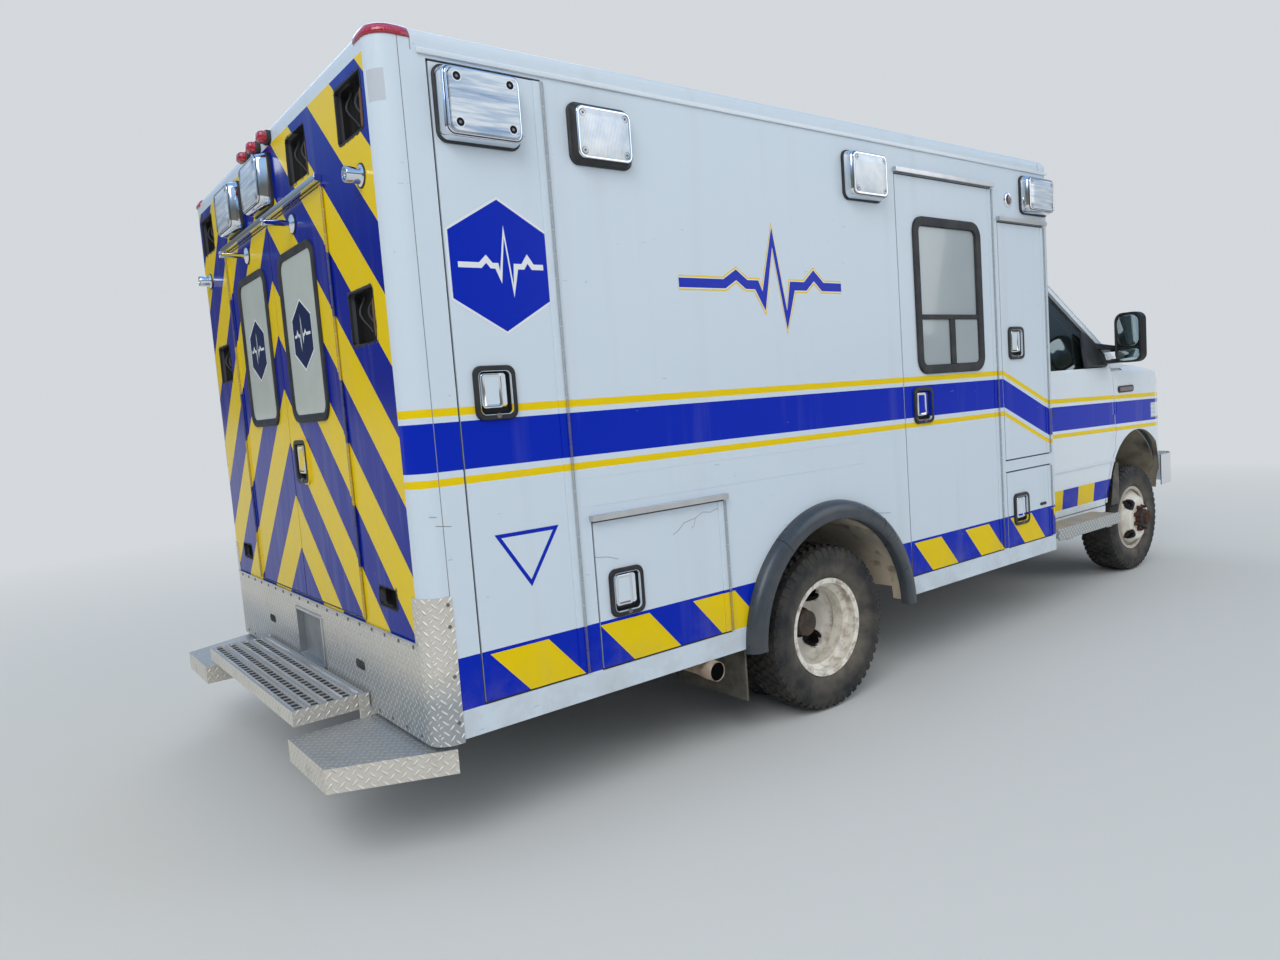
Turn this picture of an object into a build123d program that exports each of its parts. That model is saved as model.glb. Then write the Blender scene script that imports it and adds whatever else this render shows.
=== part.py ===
from build123d import *
import os
from math import cos, radians, sin

# Ambulance with a box-shaped patient module on a van cab chassis with twin rear wheels.
# Millimetres. x runs forward from the module's rear face, y to the left, z up from the ground.
# Every solid is moved at the end, so that the origin lies on the ground under the vehicle's middle.

# Patient module
module_length = 3924
module_width = 2413
skirt_z = 410
roof_seam_z = 2534
roof_height = 78
roof_edge_radius = 45
wall = 46
corner_radius = 70
post_seam = 84
floor_top_z = 725
floor_thickness = 75
passage_half = 230
passage_z = (780, 1960)
drip_out = 22
drip_height = 20
drip_lap = 6
cover_sheet = 3
cover_low_z = skirt_z - 9
guard_top_z = 875

# Doors of the module
door_gap = 7.5
leaf = 36
hinge_radius = 5
hinge_clear = 0.3
hinge_strap = 26
strap_sheet = 2.5
window_radius = 60
glass = 6
compartment_depth = 450
liner = 8
post_y = 330
post_radius = 9
cup_radius = 24
cup_bore = 17
hold_open_z = roof_seam_z - 339

# Wheels and axles
rear_axle_x = 1903
front_axle_x = module_length + 1484
tyre_radius = 371
tyre_width = 225
rim_radius = 221
bead_radius = 205
bead_clear = 0.5
front_track = 1763
dual_outer_y = 1068
dual_inner_y = 773
disc_offset = 140
lug_circle = 165.1
lug_count = 8
hub_bore = 62
spindle_radius = 30
kingpin_inset = 91.5
kingpin_radius = 16
kingpin_clear = 0.05
arch_rear_radius = 480
arch_rear_rise = 14
flare_width = 78
flare_out = 50
spring_y = (500, 564)
spring_half = 780

# Cab
cab_half_width = 1008
cab_bottom_z = 470
cab_wall = 46
cab_floor_z = 640
cab_floor_thickness = 40
cab_front_x = module_length + 1379
cowl_z = 1462
cab_roof_z = roof_seam_z - 448
screen_foot_x = module_length + 1338
screen_head = (module_length + 636, cab_roof_z - 72)
cab_door_rear_x = module_length + 226
cab_door_front_x = module_length + 1186
door_bottom_z = cab_bottom_z + 42
door_head_z = cab_roof_z - 96
belt_z = cowl_z - 22
window_frame = 50
tunnel_half = 300
tunnel_rear_x = module_length + 796
tunnel_knee_z = 1000
tunnel_top_z = 1160
firewall_gap = 0.5

# Front end
arch_x = front_axle_x + 40
arch_z = 545
arch_radius = 450
fender_skin = 30
house_clear = 6
house_inner_y = 560
bonnet_half = cab_half_width - 208
bonnet_skin = 26
bonnet_rear_x = module_length + 1398
bonnet_gap = 6
cowl_drop = 16
hood_pin_radius = 2.7
hood_pin_z = cowl_z - 10
nose_x = module_length + 2066
bumper_front_x = module_length + 2221
bumper_z = (560, 780)
grille_half = cab_half_width - 568
grille_z = (cowl_z - 512, cowl_z - 292)
lamp_y = (cab_half_width - 508, cab_half_width + 22)
lamp_z = (cowl_z - 406, cowl_z - 290)
lamp_rear_x = module_length + 1744
seat_gap = 0.3
door_lip = 26

# Chassis
rail_spacing = 864
rail_depth = 180
rail_flange = 70
rail_web = 7
rail_top_z = 640
rail_front_x = module_length + 1956
crossmembers_x = (110, 900, 2500, module_length - 524, module_length + 176, module_length + 1836)
body_pads_x = (300, 1150, 2700, module_length - 424)
engine_low_z = 560
engine_top_z = 1085
engine_half = 280
pipe_radius = 32
silencer_radius = 80

# Bolt holes that other things fasten to: the rear plate's and the tow hooks'
plate_bolt_y = 88.9
plate_bolt_z = 636
plate_bolt_radius = 3.3
tow_bolts_x = (module_length + 1898, module_length + 1938)
tow_bolts_z = 550
tow_bolt_radius = 7

# Rear step
step_top_z = 380
step_fascia = 80
step_sheet = 5
step_rear_x = -300
step_front_x = 70
step_inner_y = 640
flip_top_z = 465
flip_height = 55
flip_half = 632
flip_pin_x = -26
flip_pin_z = 452
flip_pin_radius = 8
pin_clear = 0.05
tread_count = 4
tread_pitch = 56
tread_width = 40

# Values worked out from the sizes above
half = module_width / 2
roof_top_z = roof_seam_z + roof_height
mid_x = (bumper_front_x + step_rear_x) / 2
wheel_z = tyre_radius
front_tyre_y = front_track / 2
kingpin_y = front_tyre_y - kingpin_inset
arch_rear_z = tyre_radius + arch_rear_rise
floor_bottom_z = floor_top_z - floor_thickness
house_radius = arch_radius + house_clear
beyond_y = cab_half_width + 92
beyond_x = nose_x + 110
door_inner_y = cab_half_width - 308
rail_y = rail_spacing / 2
sides = (("right", -1), ("left", 1))

# Side openings of the module, one row for each door:
# name, side, rear x, front x, bottom z, top z, handle's x from the rear edge, handle's z, rail above
door_low_z = skirt_z + 87
front_door_x = (module_length - 567, module_length - 92)
front_door_top_z = roof_seam_z - 287
compartment_table = (
    ("door_rear_tall_right", -1, 170, 577, skirt_z + 90, roof_seam_z - 14, 137, 1500, False),
    ("door_rear_lower_right", -1, 638, 1275, door_low_z, 1033, 131, 762, True),
    ("door_front_tall_right", -1, *front_door_x, 973, front_door_top_z, 144, 1606, True),
    ("door_front_lower_right", -1, *front_door_x, door_low_z, 916, 139, 700, False),
    ("door_rear_left", 1, 600, 1275, door_low_z, 1560, 131, 1000, True),
    ("door_middle_left", 1, rear_axle_x + 617, module_length - 654, door_low_z, 1560, 131, 1000, True),
    ("door_front_left", 1, *front_door_x, door_low_z, front_door_top_z, 144, 1400, True),
)
entry_x = (rear_axle_x + 575, module_length - 618)
entry = ("entry_door", -1, *entry_x, door_low_z, roof_seam_z - 122, 150, 1320, True)
entry_window = (entry_x[0] + 127, entry_x[1] - 130, 1472, roof_seam_z - 314)
rear_door = (685, floor_top_z + 10, roof_seam_z - 272)
rear_window = (150, 507, 1480, roof_seam_z - 439)
rear_handle = (141, 1302)
plate_recess = (165, 460, 666, 8)

# Lamps on the module's sides: middle x, middle z, width, height, depth of the lens
side_lamp_table = (
    (330, roof_seam_z - 144, 270, 220, 62),
    (800, roof_seam_z - 171, 250, 204, 40),
    (rear_axle_x + 337, roof_seam_z - 169, 262, 212, 62),
    (module_length - 196, roof_seam_z - 134, 264, 200, 62),
)
# Lamp places on the rear: middle y, middle z, width, height, and whether the lamp is there
top_lamp_z = roof_seam_z - 124
corner_lamp_y = half - 213.5
rear_lamp_table = (
    (-corner_lamp_y, top_lamp_z, 220, 170, False),
    (-450, top_lamp_z, 220, 170, False),
    (0, top_lamp_z, 220, 170, True),
    (450, top_lamp_z, 220, 170, True),
    (corner_lamp_y, top_lamp_z, 220, 170, False),
    (-(half - 274.5), 1776, 215, 172, False),
    (half - 274.5, 1776, 215, 172, False),
    (-(half - 296.5), 848, 150, 67, False),
    (half - 296.5, 848, 150, 67, False),
)
lamp_base = 14
lamp_plate = (133, 108)


def block(x0, x1, y0, y1, z0, z1):
    """A box between two x, two y and two z."""
    return Pos((x0 + x1) / 2, (y0 + y1) / 2, (z0 + z1) / 2) * Box(x1 - x0, y1 - y0, z1 - z0)


def sideways(face, y0, y1):
    """A face drawn in x and z, made solid between two y."""
    return extrude(Plane.XZ.offset(-max(y0, y1)) * face, amount=abs(y1 - y0))


def forward(face, x0, x1):
    """A face drawn in y and z, made solid between two x."""
    return extrude(Plane.YZ.offset(x0) * face, amount=x1 - x0)


def upward(face, z0, z1):
    """A face drawn in x and y, made solid between two z."""
    return extrude(Plane.XY.offset(z0) * face, amount=z1 - z0)


def polygon(*points):
    return make_face(Polyline(*points, close=True))


def rounded(u0, u1, v0, v1, radius):
    """A rectangle with round corners between two u and two v."""
    return Pos((u0 + u1) / 2, (v0 + v1) / 2) * RectangleRounded(u1 - u0, v1 - v0, radius)


def span(side, inner, outer):
    """Two y on one side of the vehicle, lower one first."""
    return tuple(sorted((side * inner, side * outer)))


def fore(x):
    """An x that is given from the module's front face."""
    return module_length + x


def rod_y(x, z, radius, y0, y1):
    return Pos(x, (y0 + y1) / 2, z) * Rot(90, 0, 0) * Cylinder(radius, abs(y1 - y0))


def rod_z(x, y, radius, z0, z1):
    return Pos(x, y, (z0 + z1) / 2) * Cylinder(radius, z1 - z0)


def rod_x(y, z, radius, x0, x1):
    return Pos((x0 + x1) / 2, y, z) * Rot(0, 90, 0) * Cylinder(radius, x1 - x0)


parts = {}


# Module walls, roof and floor
def wall_ring(x0, x1):
    """The module's round-cornered wall between two x, from the skirt to the roof seam."""
    outer = rounded(0, module_length, -half, half, corner_radius)
    inner_radius = corner_radius - wall
    inner = rounded(wall, module_length - wall, -half + wall, half - wall, inner_radius)
    ring = upward(outer - inner, skirt_z, roof_seam_z)
    return ring & block(x0, x1, -half, half, skirt_z, roof_seam_z)


def side_wall(side):
    """One side panel between the corner posts, with its door openings and wheel arch cut."""
    y0, y1 = span(side, half - wall, half)
    panel = block(post_seam, module_length - post_seam, y0, y1, skirt_z, roof_seam_z)
    for row in compartment_table + (entry,):
        if row[1] == side:
            panel -= block(row[2], row[3], y0, y1, row[4], row[5])
    panel -= rod_y(rear_axle_x, arch_rear_z, arch_rear_radius, y0, y1)
    for row in compartment_table + (entry,):
        if row[1] == side and row[8]:
            outer = span(side, half, half + drip_out)
            panel += block(row[2] - drip_lap, row[3] + drip_lap, *outer, row[5] + 1, row[5] + 1 + drip_height)
    return panel


def rear_wall():
    """The rear panel with its corner posts, the doorway and the holes for lamps."""
    hinge_y, low_z, high_z = rear_door
    panel = wall_ring(0, post_seam)
    panel -= block(-1, wall + 1, -hinge_y, hinge_y, low_z, high_z)
    for y, z, width, height, fitted in rear_lamp_table:
        if not fitted:
            hole = rounded(y - width / 2, y + width / 2, z - height / 2, z + height / 2, 12)
            panel -= forward(hole, -1, wall - 6)
    rail = block(-drip_out, 0, -hinge_y, hinge_y, high_z + 3, high_z + 3 + drip_height)
    return panel + rail


def front_wall():
    """The bulkhead between the module and the cab, with the way through."""
    panel = wall_ring(module_length - post_seam, module_length)
    passage = rounded(-passage_half, passage_half, *passage_z, 60)
    panel -= forward(passage, module_length - wall - 1, module_length + 1)
    return panel - block(module_length - wall - 1, module_length + 1, -600, 600, skirt_z - 1, floor_bottom_z)


def roof():
    """The roof cap, with round edges."""
    cap = upward(rounded(0, module_length, -half, half, corner_radius), roof_seam_z, roof_top_z)
    top = cap.faces().sort_by(Axis.Z)[-1]
    return fillet(top.edges(), roof_edge_radius)


def wheelhouse(side):
    """The inner arch over one pair of rear wheels."""
    outer = arch_rear_radius + liner
    y0, y1 = span(side, dual_inner_y - tyre_width / 2 - 40, half - wall)
    ring = rod_y(rear_axle_x, arch_rear_z, outer, y0, y1)
    inner0, inner1 = span(side, dual_inner_y - tyre_width / 2 - 40 + liner, half - wall)
    ring -= rod_y(rear_axle_x, arch_rear_z, arch_rear_radius, inner0, inner1)
    return ring & block(0, module_length, -half, half, skirt_z + 60, roof_seam_z)


def compartment_box(row, grow):
    """The room behind a compartment's door, made larger all round by grow."""
    side = row[1]
    y0, y1 = span(side, half - wall - compartment_depth - grow, half - leaf - 5)
    inset = liner + hinge_clear
    margin = inset - grow
    return block(row[2] + margin, row[3] - margin, y0, y1, row[4] + margin, row[5] - margin)


def module_floor():
    """The floor, cut round the compartments, wheels and step well, with the wheel houses and step."""
    inner = half - wall
    outline = rounded(wall, module_length - wall, -inner, inner, corner_radius - wall)
    floor = upward(outline, floor_bottom_z, floor_top_z)
    for row in compartment_table:
        floor -= compartment_box(row, liner)
    for name, side in sides:
        y0, y1 = span(side, dual_inner_y - tyre_width / 2 - 40, inner)
        floor -= rod_y(rear_axle_x, arch_rear_z, arch_rear_radius + liner, y0, y1)
        floor += wheelhouse(side)
    well_y = -inner + 260
    well = (entry[2], entry[3], -inner, well_y)
    floor -= block(*well, floor_bottom_z - 1, floor_top_z + 1)
    step = block(*well, entry[4] - liner, floor_top_z)
    step -= block(well[0] + liner, well[1] - liner, -inner - 1, well_y - liner, entry[4], floor_top_z + 1)
    return floor + step


def compartment_liners():
    """The sheet boxes behind the compartment doors, open to the outside."""
    boxes = []
    for row in compartment_table:
        boxes.append(compartment_box(row, liner) - compartment_box(row, 0))
    return boxes


def kick_plate():
    """The tread-plate cover across the rear and the guards round its corners."""
    sheet = cover_sheet
    cover_half = half - 81.5
    plate = block(-sheet, 0, -cover_half, cover_half, cover_low_z, floor_top_z + 1)
    for name, side in sides:
        outer = rounded(-sheet, 400, -half - sheet, half + sheet, corner_radius + sheet)
        inner = rounded(0, 500, -half, half, corner_radius)
        guard = upward(outer - inner, cover_low_z, guard_top_z)
        guard &= block(-sheet, post_seam + 6, *span(side, cover_half - 15, half + sheet), 0, guard_top_z + 1)
        plate += guard
    return plate - forward(plate_outline, -10, 10)


recess_half, recess_low_z, recess_top_z, recess_radius = plate_recess
plate_outline = rounded(-recess_half, recess_half, recess_low_z, recess_top_z, recess_radius)
parts["module_wall_left"] = side_wall(1)
parts["module_wall_right"] = side_wall(-1)
rear_panel = rear_wall() - forward(plate_outline, -1, 22)
for plate_y in (-plate_bolt_y, plate_bolt_y):
    rear_panel -= rod_x(plate_y, plate_bolt_z, plate_bolt_radius, 0, wall + 1)
parts["module_wall_rear"] = rear_panel
parts["module_wall_front"] = front_wall()
parts["module_roof"] = roof()
parts["module_floor"] = module_floor()
parts["compartment_liners"] = compartment_liners()
parts["kick_plate"] = kick_plate()


# Doors of the module
def handle_on(y_face, side, x, z):
    """A paddle latch on a side door: a bezel, its bowl and the paddle."""
    out = span(side, y_face - 1, y_face + 9)
    bezel = sideways(rounded(x - 75, x + 75, z - 86, z + 86, 28), *out)
    bowl = sideways(rounded(x - 58, x + 58, z - 69, z + 69, 18), *span(side, y_face - 24, y_face + 10))
    paddle = sideways(rounded(x - 50, x + 40, z - 45, z + 62, 10), *span(side, y_face - 25, y_face + 3))
    return bezel, bowl, paddle


def side_leaf(row):
    """One leaf on the module's side, with its full-height hinge on the front edge."""
    name, side, x0, x1, z0, z1, handle_x, handle_z, railed = row
    y0, y1 = span(side, half - leaf, half)
    door = block(x0 + door_gap, x1 - door_gap, y0, y1, z0 + door_gap, z1 - door_gap)
    hinge_x = x1
    hinge_y = side * (half + hinge_clear + hinge_radius)
    door += rod_z(hinge_x, hinge_y, hinge_radius, z0 + door_gap, z1 - door_gap)
    strap = span(side, half, half + strap_sheet)
    door += block(x1 - door_gap - hinge_strap, hinge_x - 1, *strap, z0 + door_gap, z1 - door_gap)
    bezel, bowl, paddle = handle_on(half, side, x0 + handle_x, handle_z)
    return door + bezel - bowl + paddle


def lamp(x, z, width, height, depth, side):
    """A lamp on the module's side: a base plate and a raised lens with round edges."""
    plate = rounded(x - width / 2, x + width / 2, z - height / 2, z + height / 2, 24)
    base = sideways(plate, *span(side, half, half + lamp_base))
    lens_width = width - 36
    lens_height = height - 36
    lens = rounded(x - lens_width / 2, x + lens_width / 2, z - lens_height / 2, z + lens_height / 2, 20)
    return base + sideways(lens, *span(side, half + lamp_base, half + depth))


for row in compartment_table:
    parts[row[0]] = side_leaf(row)
parts["door_rear_tall_right"] += lamp(*side_lamp_table[0], -1)

entry_leaf = side_leaf(entry)
entry_cut = rounded(*entry_window, window_radius)
entry_leaf -= sideways(entry_cut, *span(-1, half - leaf - 1, half + 1))
parts["entry_door"] = entry_leaf
glass_middle = half - leaf / 2
parts["entry_window"] = sideways(entry_cut, *span(-1, glass_middle - glass / 2, glass_middle + glass / 2))


def rear_leaf(side):
    """One rear door leaf, hinged at its outer edge, with its window cut and its hold-open post."""
    hinge_y, z0, z1 = rear_door
    meet = 4
    y0, y1 = span(side, meet, hinge_y - door_gap)
    door = block(0, leaf, y0, y1, z0 + door_gap, z1 - door_gap)
    axis_y = side * hinge_y
    door += rod_z(-hinge_radius - hinge_clear, axis_y, hinge_radius, z0 + door_gap, z1 - door_gap)
    strap = span(side, hinge_y - door_gap - hinge_strap, hinge_y - 1)
    door += block(-strap_sheet, 0, *strap, z0 + door_gap, z1 - door_gap)
    window = rounded(*span(side, rear_window[0], rear_window[1]), rear_window[2], rear_window[3], window_radius)
    door -= forward(window, -1, leaf + 1)
    for radius, x0, x1 in ((26, -8, 0), (post_radius, -100, -8), (13, -112, -100)):
        door += rod_x(side * post_y, hold_open_z, radius, x0, x1)
    pane = forward(window, leaf / 2 - glass / 2, leaf / 2 + glass / 2)
    return door, pane


for name, side in sides:
    door, pane = rear_leaf(side)
    parts["rear_door_" + name] = door
    parts["rear_window_" + name] = pane
handle_y, handle_z = rear_handle
bezel = forward(rounded(-handle_y - 81, -handle_y + 81, handle_z - 90, handle_z + 90, 28), -9, 1)
bowl = forward(rounded(-handle_y - 62, -handle_y + 62, handle_z - 72, handle_z + 72, 18), -10, 24)
paddle = forward(rounded(-handle_y - 40, -handle_y + 52, handle_z - 48, handle_z + 64, 10), -3, 25)
parts["rear_door_right"] = parts["rear_door_right"] + bezel - bowl + paddle


# Lamps on the module, and the cups that hold the rear doors open
def module_lamps():
    lamps = []
    for row in rear_lamp_table:
        y, z, width, height, fitted = row
        plate = rounded(y - lamp_plate[0], y + lamp_plate[0], z - lamp_plate[1], z + lamp_plate[1], 24)
        face = rounded(y - width / 2, y + width / 2, z - height / 2, z + height / 2, 20)
        if z == top_lamp_z:
            lamps.append(forward(plate, fore(0), fore(lamp_base)) + forward(face, fore(lamp_base), fore(62)))
        if fitted:
            lamps.append(forward(plate, -lamp_base, 0) + forward(face, -62, -lamp_base))
    for name, side in sides:
        for row in side_lamp_table:
            on_door = side == -1 and row is side_lamp_table[0]
            if not on_door:
                lamps.append(lamp(*row, side))
    return lamps


parts["warning_lamps"] = module_lamps()
catches = []
for name, side in sides:
    cup_y = side * (half - 166.5)
    cup = rod_x(cup_y, hold_open_z, cup_radius, -52, 0) - rod_x(cup_y, hold_open_z, cup_bore, -60, -22)
    catches.append(cup)
parts["door_catches"] = catches


# Arch flares, rubber mud flaps
def flare(side):
    """The band round one rear wheel arch."""
    y0, y1 = span(side, half, half + flare_out)
    band = rod_y(rear_axle_x, arch_rear_z, arch_rear_radius + flare_width, y0, y1)
    band -= rod_y(rear_axle_x, arch_rear_z, arch_rear_radius - 2, y0 - 1, y1 + 1)
    return band & block(0, module_length, -2000, 2000, skirt_z - 20, 2000)


parts["wheel_flares"] = [flare(-1), flare(1)]
flaps = []
for name, side in sides:
    flap_x = rear_axle_x - 518
    flaps.append(block(flap_x, flap_x + 10, *span(side, 690, half - 56.5), 170, floor_bottom_z))
parts["mud_flaps"] = flaps


# Rear step: two fixed platforms on a beam, and the tread between them that flips up
def platform(side):
    outline = polygon(
        (step_front_x, side * (half - 106.5)), (step_front_x, side * step_inner_y),
        (step_rear_x, side * step_inner_y), (step_rear_x, side * (half - 188.5)),
        (step_front_x, side * (half - 16.5)),
    )
    body = upward(outline, step_top_z - step_fascia, step_top_z)
    inner = offset(outline, amount=-step_sheet, kind=Kind.INTERSECTION)
    body -= upward(inner, step_top_z - step_fascia - 1, step_top_z - step_sheet)
    lug_y = span(side, step_inner_y, step_inner_y + 12)
    lug = block(flip_pin_x - 20, flip_pin_x + 16, *lug_y, step_top_z - 1, flip_pin_z + 16)
    lug -= rod_y(flip_pin_x, flip_pin_z, flip_pin_radius + pin_clear, lug_y[0] - 10, lug_y[1] + 8)
    return body + lug


beam_x = (step_front_x, step_front_x + 60)
beam = block(*beam_x, -1000, 1000, step_top_z - step_fascia, step_top_z)
for name, side in sides:
    beam += block(*beam_x, *span(side, rail_y - 60, rail_y - 10), step_top_z, rail_top_z - rail_depth)
    beam += platform(side)
parts["step_platforms"] = beam

flip_rear_x = step_rear_x + 25
flip = block(flip_rear_x, flip_pin_x + 10, -flip_half, flip_half, flip_top_z - flip_height, flip_top_z)
for index in range(tread_count):
    tread_x = flip_rear_x + 13 + index * tread_pitch
    tread_half = flip_half - 14
    flip -= block(tread_x, tread_x + tread_width, -tread_half, tread_half, flip_top_z - 8, flip_top_z + 1)
hollow_z = (flip_top_z - flip_height - 1, flip_top_z - 14)
flip -= block(flip_rear_x + 6, flip_pin_x + 4, -flip_half + 6, flip_half - 6, *hollow_z)
flip += rod_y(flip_pin_x, flip_pin_z, flip_pin_radius, -step_inner_y - 10, step_inner_y + 10)
parts["flip_step"] = flip


# Wheels
def tyre(x, y):
    """One tyre: a barrel with round shoulders, standing on the bead seats."""
    w = tyre_width / 2
    inner = bead_radius + bead_clear
    edge = [
        (inner, 76), (rim_radius + 1, 79), (rim_radius + 6, 92), (tyre_radius - 86, w), (tyre_radius - 36, w - 6),
        (tyre_radius - 12, w - 18), (tyre_radius, w - 40),
    ]
    ring = revolve(polygon(*[(r, -y) for r, y in edge], *reversed(edge)), Axis.Y)
    inside = [(inner - 20, 60), (tyre_radius - 71, w - 24), (tyre_radius - 26, 0)]
    cavity = revolve(polygon(*[(r, -y) for r, y in inside[:2]], *reversed(inside)), Axis.Y)
    return Pos(x, y, wheel_z) * (ring - cavity)


def rim(x, y, out):
    """One steel wheel. out is 1 where its disc lies towards +y of the barrel, and -1 towards -y."""
    well = bead_radius - 21
    sheet = 7
    outer = [(well, 24), (bead_radius, 38), (bead_radius, 78), (rim_radius, 81), (rim_radius, 88)]
    inner = [(bead_radius - sheet, 84), (bead_radius - sheet, 42), (well - sheet, 28)]
    edge = outer + inner
    barrel = polygon(*edge, *[(r, -y) for r, y in reversed(edge)])
    face = disc_offset
    disc = polygon(
        (bead_radius - 4, out * 46), (bead_radius - 4, out * 62), (172, out * (face - 48)), (146, out * (face - 8)),
        (132, out * face), (hub_bore, out * face), (hub_bore, out * (face - 10)), (126, out * (face - 10)),
        (138, out * (face - 20)), (164, out * (face - 60)), (190, out * 52),
    )
    wheel = revolve(barrel, Axis.Y) + revolve(disc, Axis.Y)
    for index in range(4):
        angle = radians(45 + 90 * index)
        wheel -= rod_y(158 * cos(angle), 158 * sin(angle), 22, out * 60, out * 150)
    return Pos(x, y, wheel_z) * wheel


def front_hub(side):
    """The hub and its nuts in the middle of a front wheel."""
    face = front_tyre_y + disc_offset
    hub = rod_y(front_axle_x, wheel_z, hub_bore + 2, side * (face - 60), side * (face + 34))
    hub += rod_y(front_axle_x, wheel_z, 38, side * (face + 34), side * (face + 58))
    for index in range(lug_count):
        angle = radians(360 / lug_count * (index + 0.5))
        nut_x = front_axle_x + lug_circle / 2 * cos(angle)
        nut_z = wheel_z + lug_circle / 2 * sin(angle)
        hub += rod_y(nut_x, nut_z, 12, side * (face - 1), side * (face + 26))
    hub -= rod_y(front_axle_x, wheel_z, spindle_radius + 0.1, side * (face - 61), side * (face + 20))
    return hub


for name, side in sides:
    parts["tyre_front_" + name] = tyre(front_axle_x, side * front_tyre_y)
    parts["rim_front_" + name] = rim(front_axle_x, side * front_tyre_y, side) + front_hub(side)
    parts["tyres_rear_" + name] = [tyre(rear_axle_x, side * y) for y in (dual_outer_y, dual_inner_y)]
    twin = rim(rear_axle_x, side * dual_outer_y, -side) + rim(rear_axle_x, side * dual_inner_y, side)
    inner_face = dual_inner_y + disc_offset
    outer_face = dual_outer_y - disc_offset
    twin += rod_y(rear_axle_x, wheel_z, 100, side * (inner_face - 30), side * (outer_face + 12))
    twin += rod_y(rear_axle_x, wheel_z, 58, side * outer_face, side * (dual_outer_y - 30))
    twin -= rod_y(rear_axle_x, wheel_z, 40.1, side * (dual_inner_y - 73), side * (dual_outer_y - 60))
    parts["rims_rear_" + name] = twin


# Front axle: two crossed I-beams, their springs, and the knuckles on the kingpins
def i_beam(side):
    """One beam, from the kingpin of its side to a pivot beyond the middle."""
    web = 9
    edge = [(32, -45), (32, -30), (web, -20), (web, 20), (32, 30), (32, 45)]
    profile = polygon(*edge, *[(-x, -z) for x, z in edge])
    low, high = sorted((side * -330, side * (kingpin_y - 90)))
    beam = extrude(Plane.XZ.offset(-high) * profile, amount=high - low)
    return Pos(front_axle_x + side * 42, 0, wheel_z) * beam


def front_axle():
    """The two beams with their eyes for the kingpins and the coil springs."""
    axle = i_beam(1) + i_beam(-1)
    depth = (wheel_z - 45, wheel_z + 45)
    for name, side in sides:
        near, far = sorted((front_axle_x - side * 30, front_axle_x + side * 74))
        axle += block(near, far, *span(side, kingpin_y - 150, kingpin_y - 70), *depth)
        axle += block(front_axle_x - 30, front_axle_x + 30, *span(side, kingpin_y - 90, kingpin_y), *depth)
        axle += rod_z(front_axle_x, side * kingpin_y, 34, *depth)
        axle += rod_z(front_axle_x, side * house_inner_y, 66, wheel_z + 40, rail_top_z - 40)
    for name, side in sides:
        bore = kingpin_radius + kingpin_clear
        axle -= rod_z(front_axle_x, side * kingpin_y, bore, wheel_z - 60, wheel_z + 60)
    return axle


def knuckle(side):
    """A yoke over the beam's eye, with the kingpin, the spindle and the steering arm."""
    y = side * kingpin_y
    spindle_y = kingpin_y + 60
    yoke = rod_z(front_axle_x, y, kingpin_radius, wheel_z - 78, wheel_z + 78)
    plate = span(side, spindle_y - 18, spindle_y + 6)
    yoke += block(front_axle_x - 34, front_axle_x + 34, *plate, wheel_z - 78, wheel_z + 78)
    for low, high in ((wheel_z + 47, wheel_z + 78), (wheel_z - 78, wheel_z - 47)):
        yoke += rod_z(front_axle_x, y, 36, low, high)
        yoke += block(front_axle_x - 34, front_axle_x + 34, *span(side, kingpin_y, spindle_y + 6), low, high)
    spindle_end = side * (front_tyre_y + disc_offset + 10)
    yoke += rod_y(front_axle_x, wheel_z, spindle_radius, side * spindle_y, spindle_end)
    arm = span(side, kingpin_y - 26, kingpin_y + 10)
    yoke += block(front_axle_x - 150, front_axle_x - 20, *arm, wheel_z - 78, wheel_z - 58)
    return yoke


parts["front_axle"] = front_axle()
for name, side in sides:
    parts["knuckle_" + name] = knuckle(side)


# Rear axle with its leaf springs
def rear_axle():
    axle = rod_y(rear_axle_x, wheel_z, 52, -(dual_inner_y - 20), dual_inner_y - 20)
    for name, side in sides:
        axle += rod_y(rear_axle_x, wheel_z, 40, side * (dual_inner_y - 30), side * (dual_outer_y - 80))
    axle += Pos(rear_axle_x, 0, wheel_z) * Sphere(150)
    axle += rod_x(0, wheel_z + 49, 50, rear_axle_x, rear_axle_x + 177)
    for name, side in sides:
        leaves = 5
        for index in range(leaves):
            length = spring_half - 20 - 120 * index
            top = wheel_z + 96 - 13 * index
            axle += block(rear_axle_x - length, rear_axle_x + length, *span(side, *spring_y), top - 13, top)
        saddle = span(side, spring_y[0] - 6, spring_y[1] + 6)
        axle += block(rear_axle_x - 60, rear_axle_x + 60, *saddle, wheel_z, wheel_z + 60)
    return axle


parts["rear_axle"] = rear_axle()


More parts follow.
